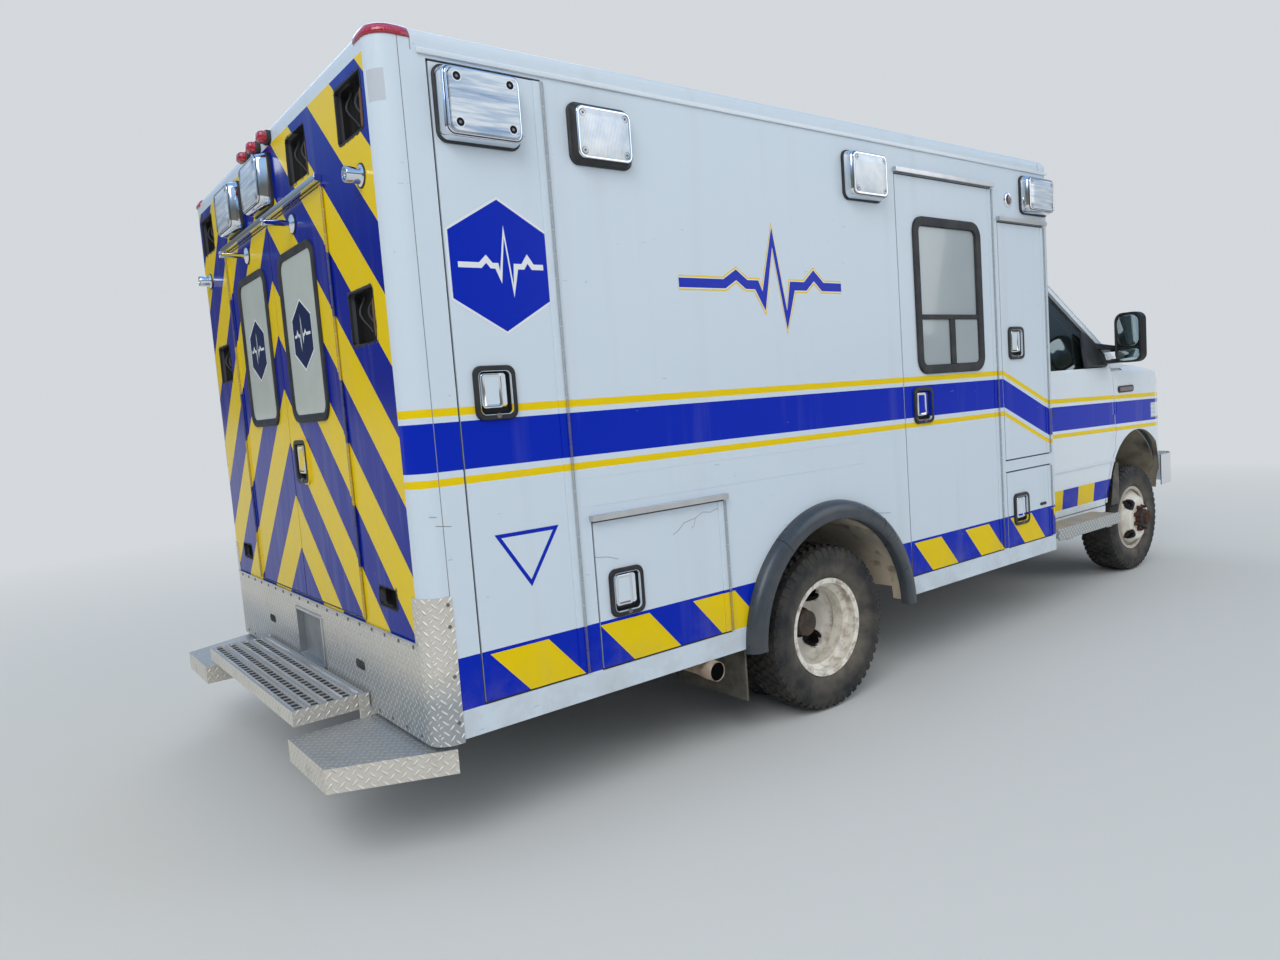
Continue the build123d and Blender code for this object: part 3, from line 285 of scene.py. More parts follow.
def reflector(look, mask, streaked):
    """The reflector seen through a clear lens, in painted reflections: bright level streaks, or a milky
    cloud, and blue patches.
    """
    stretch = (0.6, 0.6, 8.0) if streaked else (1.0, 1.0, 1.0)
    # Painted reflection: the reflector's bluish grey and its bright streaks or cloud.
    look.paint(mask, (0.54, 0.62, 0.72), 0.12)
    cloud = look.noise(9.0 if streaked else 6.0, 4.0, 0.6, stretch=stretch)
    look.paint(mask * cloud.ramp(0.42, 0.60), (0.84, 0.86, 0.88))
    # Blue patches: painted sky reflection.
    blue = look.noise(6.0, 3.0, 0.5, stretch=stretch, offset=3.1).ramp(0.52, 0.68)
    look.paint(mask * blue * (0.75 if streaked else 0.3), (0.20, 0.32, 0.52))


def arch_mud(look, x, y, z):
    """Dried mud inside the rear wheel arch."""
    near = distance(x - REAR_AXLE_X, z - REAR_ARCH_Z).under(640)
    arch = near * y.size().within(560, HALF - 1.2) * z.under(1020)
    look.paint(arch, (0.36, 0.31, 0.25), 0.85)
    look.paint(arch * look.noise(5.0, 6.0).ramp(0.42, 0.62), (0.56, 0.46, 0.34), 0.9)
    look.paint(arch * look.noise(11.0, 6.0).ramp(0.55, 0.72), (0.12, 0.10, 0.08), 0.9)


def floor_paint():
    look = Look("floor_vinyl", (0.20, 0.22, 0.24), 0.5)
    look.paint(look.noise(40.0, 3.0).ramp(0.45, 0.6) * 0.4, (0.14, 0.155, 0.17))
    arch_mud(look, *look.place())
    look.relief(look.noise(300.0, 2.0), 0.1)
    return look.done()


def headlamp_paint():
    """A clear lens with upright flutes, a round reflector and a dark edge."""
    look = Look("headlamp_lens", (0.42, 0.50, 0.58), 0.12, coat=0.8)
    _, y, z = look.place()
    across, rise = y.size(), z - HEADLAMP_Z
    flutes = across.wave(17.0).ramp(-0.4, 0.9) * z.wave(29.0).ramp(-1.0, 0.2)
    look.paint(flutes * 0.65, (0.86, 0.90, 0.95))
    away = distance(across - HEADLAMP_Y, rise)
    look.paint(away.under(49), (0.90, 0.92, 0.95), 0.08)
    look.paint(away.within(47, 50), (0.08, 0.09, 0.10))
    look.paint(away.under(15), (0.10, 0.12, 0.14))
    look.paint(across.over(905) * 0.5, (0.60, 0.66, 0.72))
    look.paint(rise.size().over(51).either(across.under(518)), (0.03, 0.033, 0.036), 0.5)
    look.metal_where(away.under(47) * 0.6)
    look.relief(flutes, 0.8)
    return look.done()


def door_lamp_paint(look, x, y, z):
    """The lens of the lamp that is part of the rear door: its reflector in painted reflections, and four
    screws in pockets, each pale at its rim and painted near black inside as painted shade.
    """
    lamp = box_mask(x, z, (DOOR_LAMP_X, DOOR_LAMP_Z), 270, 220, 2) * y.under(-HALF - 12)
    reflector(look, lamp, True)
    for along in (-92, 92):
        for rise in (-68, 68):
            away = distance(x - (DOOR_LAMP_X + along), z - (DOOR_LAMP_Z + rise))
            look.paint(lamp * away.under(16), (0.85, 0.87, 0.90))
            # Painted shade: the pockets round the screws are near black.
            look.paint(lamp * away.under(13), (0.012, 0.012, 0.014), 0.5)
            look.paint(lamp * away.under(4.5), (0.22, 0.22, 0.23), 0.3)
    look.metal_where(lamp * 0.12)


def rear_hole_paint(look, x, y, z):
    """Torn sealant round the empty lamp holes, and painted shade inside them: near black, with a lighter
    grey jamb toward +y near the face.
    """
    face = x.under(1.0) * z.over(760)
    torn = look.noise(28.0, 5.0, 0.7).ramp(0.45, 0.62)
    for hole_y, hole_z, width, height in REAR_HOLES:
        rim = box_mask(y, z, (hole_y, hole_z), width, height, 9) * face
        look.paint(rim * torn, (0.05, 0.05, 0.055), 0.6)
        inside = box_mask(y, z, (hole_y, hole_z), width, height, 4) * x.within(1.2, 60)
        # Painted shade: the insides near black, the jamb toward +y near the face lighter grey.
        look.paint(inside, (0.02, 0.018, 0.017), 0.9)
        look.paint(inside * y.over(hole_y + 0.08 * width) * x.under(21), (0.085, 0.088, 0.10), 0.8)


def module_paint():
    # The base white holds painted skylight shade.
    look = Look("module_paint", SKY_SHADED_WHITE, 0.2, specular=0.14)
    x, y, z = look.place()
    module_stripes(look, x, y, z)
    look.paint(y.size().under(HALF - 40) * x.within(40, 3880), (0.62, 0.64, 0.65), 0.5)
    door_lamp_paint(look, x, y, z)
    rear_hole_paint(look, x, y, z)
    look.paint((x - POST_SEAM).size().under(1.4) * y.size().over(HALF - 1), (0.24, 0.25, 0.27))
    look.paint(x.within(2, 37) * z.within(2379, 2472) * y.under(-1100), (0.56, 0.59, 0.64), 0.5)
    arch_mud(look, x, y, z)
    soil(look, z, 420, 640, 0.34)
    scuffs = look.noise(55.0, 2.0, 0.5, stretch=(0.25, 1, 1)).over(0.765)
    look.paint(scuffs * 0.3, (0.33, 0.32, 0.31))
    specks = look.noise(130.0, 1.0, 0.3).over(0.79) * x.under(3) * z.under(1700)
    look.paint(specks * 0.8, (0.10, 0.09, 0.08), 0.7)
    streaks = look.noise(16.0, 4.0, 0.6, stretch=(1, 1, 0.1)).ramp(0.5, 0.75) * x.under(3)
    look.paint(streaks * z.ramp(2300, 1300) * 0.16, (0.42, 0.42, 0.46), 0.4)
    look.relief(look.noise(1.6, 2.0, 0.4), 5.0)
    look.relief(look.noise(90.0, 2.0, 0.5), 0.06)
    wrinkle = z.within(1085, 1185) * x.within(600, 2150)
    look.relief(wrinkle * look.noise(6.0, 2.0, 0.5, stretch=(1, 1, 2.2)), 3.0)
    return look.done()


def cab_paint():
    look = Look("cab_paint", CAB_WHITE, 0.14, specular=0.18)
    x, y, z = look.place()
    outward = look.normal()[1] * y
    side = y.size().over(820) * x.under(CAB_NOSE_X) * outward.over(0)
    side_bands(look, side, z, x - 4310, (
        (1238, 1265, 0.020, YELLOW), (1065, 1216, 0.0158, BLUE), (1021, 1046, 0.0175, YELLOW),
    ))
    blocks = side * z.within(563, CAB_SILL_Z) * x.under(CAB_DOOR_END_X)
    look.paint(blocks, BLUE)
    look.paint(blocks * x.under(4372).either(x.within(4572, 4790)), YELLOW)
    look.paint(y.size().over(1013) * z.over(CAB_BELT_Z) * x.under(5120), BLACK, 0.45)
    inner = y.size().under(950) * z.under(CAB_BELT_Z) * x.under(5240)
    look.paint(inner * z.over(CAB_SILL_Z), (0.12, 0.125, 0.13), 0.7)
    look.paint(inner * z.under(CAB_SILL_Z), (0.02, 0.02, 0.022), 0.9)
    house = distance(x - FRONT_ARCH_X, z - FRONT_ARCH_Z).under(500) * y.size().within(540, 1004)
    house = house * outward.under(250).either(y.size().under(640))
    look.paint(house, (0.07, 0.06, 0.048), 0.85)
    look.paint(house * look.noise(5.0, 5.0).ramp(0.28, 0.58), (0.44, 0.38, 0.29), 0.9)
    soil(look, z, 480, 720, 0.4)
    look.relief(look.noise(90.0, 2.0, 0.5), 0.04)
    return look.done()


def tread_plate():
    """Bright sheet with raised lozenges that lean left and right in turn, with painted highlights on the
    lozenges and painted reflections of sky and shaded ground.
    """
    look = Look("tread_plate", (0.70, 0.645, 0.56), 0.34, metallic=0.35)
    x, y, z = look.place()
    nx, ny, nz = look.normal()
    flat = nz.size().over(0.7)
    across = nx.size().over(ny.size())
    u = flat * x + flat.inverse() * (across * y + across.inverse() * x)
    v = flat * y + flat.inverse() * z
    pitch, long_half, short_half = 34.0, 0.40, 0.115
    lozenges = []
    for shift, lean in ((0.0, 1.0), (0.5, -1.0)):
        p = (u * (1 / pitch) + shift).wrapped(1.0) - 0.5
        q = (v * (1 / pitch) + shift).wrapped(1.0) - 0.5
        a = (p + q * lean) * (DIAGONAL / long_half)
        b = (p - q * lean) * (DIAGONAL / short_half)
        lozenges.append((a * a + b * b).ramp(1.0, 0.25))
    raised = lozenges[0].either(lozenges[1])
    look.relief(raised, 2.2)
    # Painted reflection of the shaded ground: upright faces turn darker blue-grey low down.
    look.paint(z.ramp(640, 520) * z.over(384) * x.over(-6) * flat.inverse() * 0.75, (0.25, 0.30, 0.345))
    # Faces that look up are painted blue-grey: painted sky reflection.
    look.paint(flat * 0.75, (0.27, 0.33, 0.40))
    look.paint(flat * x.over(3800) * look.noise(9.0, 5.0).ramp(0.2, 0.55), (0.42, 0.34, 0.23), 0.65)
    look.paint(look.noise(5.0, 5.0, 0.6).ramp(0.35, 0.75) * 0.35, (0.62, 0.54, 0.45), 0.5)
    # Painted highlights: the raised lozenges paler, less so on faces that look up.
    look.paint(raised * (flat * -0.35 + 0.75), (0.95, 0.93, 0.88), 0.26)
    look.paint(look.noise(17.0, 6.0, 0.7).ramp(0.55, 0.8) * z.ramp(900, 380) * 0.5, (0.22, 0.19, 0.15), 0.7)
    return look.done()


def plain(name, color, roughness, metallic=0.0, coat=0.0, specular=0.5, grain=60.0, depth=0.05, vary=0.15,
          dust=0.0):
    """A finish with fine grain, cloudy variation of its colour, and dust if asked."""
    look = Look(name, color, roughness, metallic=metallic, coat=coat, specular=specular)
    look.paint(look.noise(6.0, 5.0).ramp(0.4, 0.75) * vary, shade(color, 0.55), min(1.0, roughness + 0.12))
    if dust:
        look.paint(look.noise(11.0, 6.0, 0.65).ramp(0.4, 0.75) * dust, DIRT, 0.85)
    if depth:
        look.relief(look.noise(grain * 8, 3.0), depth)
    return look.done()


def rusty(name, base, amount, roughness, metallic):
    look = Look(name, base, roughness, metallic=metallic)
    patches = look.noise(16.0, 8.0, 0.7).ramp(0.62 - amount * 0.5, 0.78 - amount * 0.4)
    look.paint(patches, shade(RUST, 0.7), 0.9)
    look.paint(look.noise(60.0, 4.0).ramp(0.5, 0.7) * patches * 0.6, (0.24, 0.11, 0.05), 0.95)
    look.relief(look.noise(220.0, 4.0), 0.25)
    return look.done()


def wheel_paint(name, axle_x):
    """White steel with rust round the hub, the nuts and the hand holes; the hand holes are painted near
    black as painted shade.
    """
    look = Look(name, (0.90, 0.85, 0.75), 0.42, coat=0.2)
    x, y, z = look.place()
    dx, dz = x - axle_x, z - WHEEL_Z
    radius = distance(dx, dz)
    stain = look.noise(18.0, 7.0, 0.7).ramp(0.45, 0.66)
    look.paint(look.noise(7.0, 5.0).ramp(0.45, 0.75) * 0.35, (0.50, 0.40, 0.28), 0.8)
    look.paint(stain * radius.ramp(150, 205) * 0.8, RUST, 0.85)
    if axle_x == FRONT_AXLE_X:
        look.paint(radius.ramp(168, 182) * 0.75, (0.33, 0.27, 0.19), 0.7)
        look.paint(radius.over(206) * 0.5, (0.62, 0.60, 0.55))
        look.paint(stain * radius.ramp(140, 75) * 0.6, RUST, 0.85)
        look.paint(radius.under(98) * y.size().over(1024), (0.10, 0.032, 0.018), 0.75)
        look.paint(radius.under(68) * y.size().over(1018), (0.11, 0.035, 0.02), 0.8)
    else:
        look.paint(radius.under(66), (0.045, 0.035, 0.03), 0.8)
        look.paint(stain * radius.ramp(130, 70), (0.12, 0.07, 0.04), 0.85)
    hole_at, half_out, half_along = 103.0, 29, 42
    side_x, side_z = dx.size() - hole_at, dz.size() - hole_at
    outwards, along = (side_x + side_z) * (DIAGONAL / half_out), (side_x - side_z) * (DIAGONAL / half_along)
    hole = outwards * outwards + along * along
    disc = radius.under(171)
    look.paint(hole.under(1.35) * disc * stain, RUST, 0.8)
    # The hand holes are painted near black: painted shade seen through them.
    look.paint(hole.under(1.0) * disc, (0.004, 0.004, 0.004), 0.95)
    look.relief(look.noise(160.0, 4.0), 0.15)
    return look.done()


def tyre_rubber():
    look = Look("tyre_rubber", (0.021, 0.021, 0.022), 0.78)
    dust = look.noise(9.0, 6.0, 0.65).ramp(0.38, 0.72)
    look.paint(dust * 0.42, (0.17, 0.145, 0.115), 0.95)
    x, _, z = look.place()
    run = x - REAR_AXLE_X - x.over(3600) * (FRONT_AXLE_X - REAR_AXLE_X)
    radius = distance(run, z - WHEEL_Z)
    look.paint(radius.ramp(300, 222) * (dust * 0.45 + 0.3), (0.24, 0.205, 0.16), 0.95)
    look.relief(look.noise(500.0, 2.0), 0.12)
    return look.done()


def ribbed_lens(name, color, pitch, upright):
    """A coloured lens with ribs moulded inside it, under a clear coat."""
    look = Look(name, color, 0.16, coat=1.0)
    x, y, z = look.place()
    wave = ((x + y) if upright else z).wave(pitch)
    look.paint(wave.ramp(-1.0, 1.0) * 0.5, shade(color, 0.45))
    look.relief(wave, 0.6)
    return look.done()


def clear_lens(name, streaked):
    """A clear lens over a reflector drawn in painted reflections: level streaks, or a milky cloud."""
    look = Look(name, (0.60, 0.66, 0.72), 0.2, metallic=0.12, coat=0.5)
    x, y, z = look.place()
    reflector(look, z.over(0), streaked)
    look.relief(z.wave(7.0) if streaked else (x + y).wave(6.0), 0.25)
    return look.done()


def cab_glass():
    color = (0.07, 0.10, 0.095)
    look = Look("cab_glass", color, 0.03, transmission=0.92)
    look.paint(look.noise(4.0, 3.0).ramp(0.4, 0.8) * 0.15, shade(color, 0.7))
    return look.done()


M = {
    "module": module_paint(),
    "cab": cab_paint(),
    "tread": tread_plate(),
    "floor_vinyl": floor_paint(),
    "headlamp": headlamp_paint(),
    "tyre": tyre_rubber(),
    "wheel_front": wheel_paint("wheel_front", FRONT_AXLE_X),
    "wheel_rear": wheel_paint("wheel_rear", REAR_AXLE_X),
    "lens": clear_lens("clear_lens", False),
    "lens_level": clear_lens("clear_lens_level", True),
    "lens_red": ribbed_lens("red_lens", RED, 7.0, True),
    "lens_dark": ribbed_lens("dark_lens", (0.10, 0.035, 0.03), 8.0, False),
    "cab_glass": cab_glass(),
    "pipe": rusty("tail_pipe", (0.46, 0.34, 0.25), 0.2, 0.5, 0.4),
    "cast": rusty("cast_metal", (0.07, 0.065, 0.06), 0.35, 0.75, 0.5),
    "chrome": plain("chrome", (0.78, 0.80, 0.83), 0.06, metallic=1.0, depth=0.0, vary=0.12),
    "bright": plain("bright_aluminium", (0.66, 0.66, 0.66), 0.28, metallic=1.0, vary=0.4, dust=0.12),
    "stainless": plain("hinge_steel", (0.17, 0.16, 0.15), 0.5, metallic=0.3, vary=0.5, dust=0.3),
    "shade_black": plain("painted_shade_black", (0.003, 0.003, 0.003), 0.95, depth=0.0, vary=0.4, specular=0.05),
    "flap": plain("flap_rubber", (0.075, 0.07, 0.06), 0.7, depth=0.1, vary=0.4, dust=0.55),
    "rubber": plain("black_rubber", (0.022, 0.023, 0.025), 0.62, depth=0.08, vary=0.3, dust=0.12),
    "flare": plain("flare_rubber", (0.052, 0.062, 0.074), 0.27, depth=0.03, dust=0.10),
    "plastic": plain("black_plastic", (0.016, 0.016, 0.018), 0.45, vary=0.3, dust=0.08),
    "frame": plain("frame_black", (0.022, 0.021, 0.020), 0.7, depth=0.12, vary=0.4, dust=0.45),
    "tank": plain("tank_black", (0.03, 0.03, 0.03), 0.6, dust=0.35),
    "inner": plain("inner_aluminium", (0.55, 0.56, 0.57), 0.4, metallic=0.8, vary=0.25),
    "vinyl": plain("seat_vinyl", (0.10, 0.11, 0.125), 0.55, depth=0.3, grain=90, vary=0.25),
    "dash": plain("dash_plastic", (0.075, 0.078, 0.085), 0.6, depth=0.2, grain=80),
    "glazing": plain("frosted_glazing", (0.40, 0.45, 0.475), 0.12, coat=0.6, depth=0.0, vary=0.12),
    "rear_pane": plain("pale_glazing", (0.60, 0.65, 0.61), 0.12, coat=0.4, depth=0.0, vary=0.2),
    "navy": plain("navy_film", (0.004, 0.018, 0.085), 0.35, depth=0.0, vary=0.3, specular=0.1),
    "pocket_shade": plain("lamp_pocket", (0.02, 0.018, 0.018), 0.8, vary=0.5, dust=0.2),
    "sealant": plain("torn_sealant", (0.03, 0.03, 0.033), 0.7, depth=0.4, vary=0.5),
    "foam": plain("brown_foam", (0.23, 0.105, 0.045), 0.95, depth=0.5, vary=0.6),
    "wire": plain("wire_sheath", (0.05, 0.05, 0.055), 0.5, vary=0.4),
    "mirror": plain("mirror_glass", (0.52, 0.62, 0.62), 0.02, metallic=1.0, depth=0.0, vary=0.05),
    "blue": plain("blue_film", BLUE, 0.25, depth=0.0, vary=0.1, specular=0.22),
    "yellow": plain("yellow_film", YELLOW, 0.25, depth=0.0, vary=0.1, specular=0.22),
    "white_film": plain("white_film", (0.82, 0.84, 0.86), 0.3, depth=0.0, vary=0.06),
    "white_trim": plain("white_trim", CAB_WHITE, 0.28, coat=0.4, depth=0.03, vary=0.06),
    "scratch": plain("scratch", (0.20, 0.19, 0.18), 0.7, depth=0.0),
    "plate_back": plain("plate_back", (0.42, 0.43, 0.43), 0.45, metallic=0.7, vary=0.6, dust=0.35),
}

NODE_MATERIALS = {
    "module": """
        module_wall_left module_wall_right module_wall_rear module_wall_front module_roof entry_door
        door_front_left door_front_lower_right door_front_tall_right door_middle_left
        door_rear_left door_rear_lower_right door_rear_tall_right rear_door_left rear_door_right
    """,
    "cab": "cab_body cab_door_left cab_door_right front_end bonnet",
    "tread": "kick_plate step_platforms flip_step running_boards",
    "inner": "compartment_liners",
    "floor_vinyl": "module_floor",
    "frame": "chassis_frame",
    "cast": "engine_block gearbox_and_shaft front_axle rear_axle knuckle_left knuckle_right",
    "tank": "fuel_tank",
    "pipe": "exhaust",
    "flap": "mud_flaps",
    "flare": "wheel_flares",
    "chrome": "door_catches front_bumper",
    "plastic": "grille",
    "dash": "dashboard",
    "vinyl": "seats",
    "glazing": "entry_window rear_window_left rear_window_right",
    "cab_glass": "cab_window_left cab_window_right windscreen",
    "lens": "warning_lamps",
    "headlamp": "headlamps",
    "tyre": "tyre_front_left tyre_front_right tyres_rear_left tyres_rear_right",
    "wheel_front": "rim_front_left rim_front_right",
    "wheel_rear": "rims_rear_left rims_rear_right",
}
for key, names in NODE_MATERIALS.items():
    for name in names.split():
        node = nodes[name]
        node.data.materials.clear()
        node.data.materials.append(M[key])


# Pieces
OPEN = (False, False)
BOTH = (True, True)


def circle(radius, count, phase=0.0):
    """Points round a circle."""
    angles = [2 * math.pi * (i + phase) / count for i in range(count)]
    return [(radius * math.cos(angle), radius * math.sin(angle)) for angle in angles]


def rectangle(x0, x1, y0, y1, z):
    return [(x0, y0, z), (x1, y0, z), (x1, y1, z), (x0, y1, z)]


def round_rect(width, height, radius, steps=6, middle=(0, 0)):
    """Points round a rectangle with round corners."""
    radius = max(0.01, min(radius, width / 2 - 0.01, height / 2 - 0.01))
    points = []
    for sign_u, sign_v, start in ((1, 1, 0), (-1, 1, 90), (-1, -1, 180), (1, -1, 270)):
        u = middle[0] + sign_u * (width / 2 - radius)
        v = middle[1] + sign_v * (height / 2 - radius)
        for i in range(steps + 1):
            angle = math.radians(start + 90 * i / steps)
            points.append((u + radius * math.cos(angle), v + radius * math.sin(angle)))
    return points


class Build:
    """Points and faces gathered for one piece, in this script's millimetres."""

    def __init__(self):
        self.verts = []
        self.faces = []

    def loft(self, rings, caps=BOTH, close=False):
        """Joins rings of equal length one after another."""
        count = len(rings[0])
        starts = [len(self.verts) + count * index for index in range(len(rings))]
        for ring in rings:
            self.verts.extend(ring)
        for a, b in zip(starts, starts[1:] + (starts[:1] if close else [])):
            for i in range(count):
                j = (i + 1) % count
                self.faces.append((a + i, a + j, b + j, b + i))
        if caps[0]:
            self.faces.append(tuple(starts[0] + i for i in reversed(range(count))))
        if caps[1]:
            self.faces.append(tuple(starts[-1] + i for i in range(count)))
        return self

    def block(self, x0, x1, y0, y1, z0, z1):
        return self.loft([rectangle(x0, x1, y0, y1, z) for z in (z0, z1)])

    def prism(self, outline, place, out0, out1):
        """A flat outline of (u, v), made solid between two heights over a face."""
        return self.loft([[place(u, v, out) for u, v in outline] for out in (out0, out1)])

    def turned(self, place, profile, count=24, middle=(0, 0), caps=BOTH):
        """A profile of (radius, out) turned about an axis that stands on a face at middle."""
        rings = []
        for radius, out in profile:
            rings.append([place(middle[0] + a, middle[1] + b, out) for a, b in circle(radius, count)])
        return self.loft(rings, caps)

    def stack(self, place, middle, layers, caps=BOTH, close=False, steps=6):
        """Rounded rectangles over a face, joined: each layer is width, height, corner radius, out."""
        rings = []
        for width, height, radius, out in layers:
            rings.append([place(u, v, out) for u, v in round_rect(width, height, radius, steps, middle)])
        return self.loft(rings, caps, close)

    def make(self, name, material, body="vehicle", smooth=35, bevel=0.0):
        """The finished piece, riding on a body."""
        mesh = bpy.data.meshes.new(name)
        mesh.from_pydata([mm(*v) for v in self.verts], [], self.faces)
        mesh.validate()
        obj = bpy.data.objects.new(name, mesh)
        bpy.context.scene.collection.objects.link(obj)
        mesh.materials.append(M[material])
        if smooth:
            mesh.polygons.foreach_set("use_smooth", [True] * len(mesh.polygons))
            mesh.set_sharp_from_angle(angle=math.radians(smooth))
        if bevel:
            modifier = obj.modifiers.new("bevel", "BEVEL")
            modifier.width = bevel / 1000
            modifier.segments = 2
            modifier.limit_method = "ANGLE"
            modifier.angle_limit = math.radians(40)
        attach(obj, body)
        return obj


def on_side(side, half=HALF):
    """Places (x, z, out) on a side wall of the module, or on one that stands half from the middle."""
    return lambda u, v, out: (u, side * (half + out), v)


def on_rear(u, v, out):
    """Places (y, z, out) on the module's rear."""
    return (-out, u, v)


def on_front(u, v, out):
    """Places (y, z, out) on the module's front."""
    return (LENGTH + out, u, v)


# Lamps on the module
def module_lamp(name, place, middle, width, height, depth, body="vehicle", deep=True, level=True):
    """A warning lamp: gasket, bright body, black joint, rim, lens, and four screws in round pockets."""
    front = depth - 5.5

    def part(suffix, material, layers, caps=OPEN, smooth=35):
        sizes = [(width + grow, height + grow, radius, out) for grow, radius, out in layers]
        return Build().stack(place, middle, sizes, caps).make(f"{name}_{suffix}", material, body, smooth)

    part("gasket", "rubber", [(12, 34, 0.2), (12, 34, 9), (4, 31, 13)], BOTH)
    part("body", "chrome" if deep else "plastic", [
        (2, 30, 8), (2, 30, 15), (-8, 30, front - 14), (-13, 29, front - 7), (-18, 27, front - 4.5),
        (-22, 26, front - 5),
    ], smooth=40)
    part("joint", "rubber", [
        (-18, 26, front - 6), (-18, 26, front - 1.6), (-28, 23, front - 1.6),
    ], smooth=0)
    part("rim", "chrome", [
        (-21, 25, front - 3), (-23, 25, front + 1.2), (-29, 23, front + 2.6), (-38, 20, front + 1.4),
        (-40, 19, front - 2),
    ], smooth=50)
    # The lamp on a door has its lens and screws in the door's own solid.
    if body != "vehicle":
        return
    lens = part("lens", "lens_level" if level else "lens", [
        (-38, 19, front - 3), (-38, 19, front + 0.6), (-50, 15, front + 3), (-110, 8, front + 4.4),
    ], BOTH, smooth=60)
    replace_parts(lens, "warning_lamps")
    pockets, screws = Build(), Build()
    for sign_u in (-1, 1):
        for sign_v in (-1, 1):
            spot = (middle[0] + sign_u * (width / 2 - 36), middle[1] + sign_v * (height / 2 - 36))
            # The pockets are near-black discs round the screws: painted shade.
            pockets.turned(place, [(10.5, front - 1), (10.5, front + 2.9)], 16, spot)
            collar = [(13, front), (12.6, front + 3.2), (11.2, front + 4), (10.2, front + 3.2)]
            screws.turned(place, collar, 16, spot, OPEN)
            screws.turned(place, [(5.2, front + 2), (5.2, front + 3.6), (2.0, front + 4.2)], 8, spot)
    pockets.make(name + "_pockets", "pocket_shade", body, smooth=0)
    screws.make(name + "_screws", "stainless", body)


SIDE_LAMPS = (
    (DOOR_LAMP_X, DOOR_LAMP_Z, 280, 222, 58, True), (800, 2361, 250, 196, 42, False),
    (2240, 2364, 258, 202, 60, True), (3735, 2402, 280, 192, 60, True),
)
for side, side_name in SIDES:
    for index, (x, z, width, height, depth, deep) in enumerate(SIDE_LAMPS):
        body = "door_rear_tall_right" if side == RIGHT and index == 0 else "vehicle"
        name = f"lamp_{side_name}_{index + 1}"
        module_lamp(name, on_side(side), (x, z), width, height, depth, body, deep, index in (0, 3))
for wall, place, spots in (("rear", on_rear, (0, 450)), ("front", on_front, (-993, -450, 0, 450, 993))):
    for y in spots:
        module_lamp(f"lamp_{wall}_{y}", place, (y, LAMP_ROW_Z), 262, 200, 60)


def loose_wire(middle_y, top_z, drop, turn):
    """The rings of a short wire that bows out of a hole."""
    rings = []
    for step in range(9):
        t = step / 8
        y = middle_y + 26 * math.sin(3.2 * t + turn)
        x = 36 - 24 * math.sin(math.pi * t) ** 1.5
        angles = (0, 1.26, 2.51, 3.77, 5.03)
        rings.append([(x + 3.5 * math.cos(a), y + 3.5 * math.sin(a), top_z - t * drop) for a in angles])
    return rings


def empty_holes():
    """What the missing rear lamps left: torn sealant, wires and foam."""
    random.seed(11)
    sealant, wires, foam = Build(), Build(), Build()
    corners = ((-1, 0), (1, 0), (1, 1), (-1, 1))
    for y, z, width, height in REAR_HOLES:
        outer = round_rect(width + 6, height + 6, 16, 6, (y, z))
        inner = round_rect(width - 3, height - 3, 12, 6, (y, z))
        edge = [(-0.9, u + random.uniform(-6, 6), v + random.uniform(-4, 5)) for u, v in outer]
        lip = [(-1.3, u + random.uniform(-3, 3), v + random.uniform(-3, 3)) for u, v in inner]
        sealant.loft([edge, lip, [(9.0, u, v) for _, u, v in lip]], OPEN)
        if height < 100:
            continue
        for index in range(2):
            wire_y = y + width * (-0.25 + 0.4 * index)
            wires.loft(loose_wire(wire_y, z + height * 0.42, height * 0.7, index))
        side, foot = y - width * 0.30, z - height * 0.40
        foam.loft([
            [(x, side + a * wide + random.uniform(-4, 4), foot + b * tall) for a, b in corners]
            for x, wide, tall in ((41, 26, height * 0.8), (22, 24, height * 0.72), (16, 15, height * 0.6))
        ])
    sealant.make("torn_sealant", "sealant", smooth=0)
    wires.make("loose_wires", "wire", smooth=60)
    foam.make("foam_blocks", "foam", bevel=4)


empty_holes()


# Doors of the module: name, side, x from and to, z from and to, the latch's x and z, whether it has a rail
DOORS = (
    ("door_rear_tall_right", RIGHT, 170, 577, 500, 2520, 307, 1500, False),
    ("door_rear_lower_right", RIGHT, 638, 1275, 497, 1033, 769, 762, True),
    ("door_front_tall_right", RIGHT, 3357, 3832, 973, 2247, 3501, 1606, True),
    ("door_front_lower_right", RIGHT, 3357, 3832, 497, 916, 3496, 700, False),
    ("door_rear_left", LEFT, 600, 1275, 497, 1560, 731, 1000, True),
    ("door_middle_left", LEFT, 2520, 3270, 497, 1560, 2651, 1000, True),
    ("door_front_left", LEFT, 3357, 3832, 497, 2247, 3501, 1400, True),
    ("entry_door", RIGHT, 2478, 3306, 497, 2412, 2628, 1320, True),
)
HINGE_OUT = 5.3
REAR_DOOR_EDGE = 685


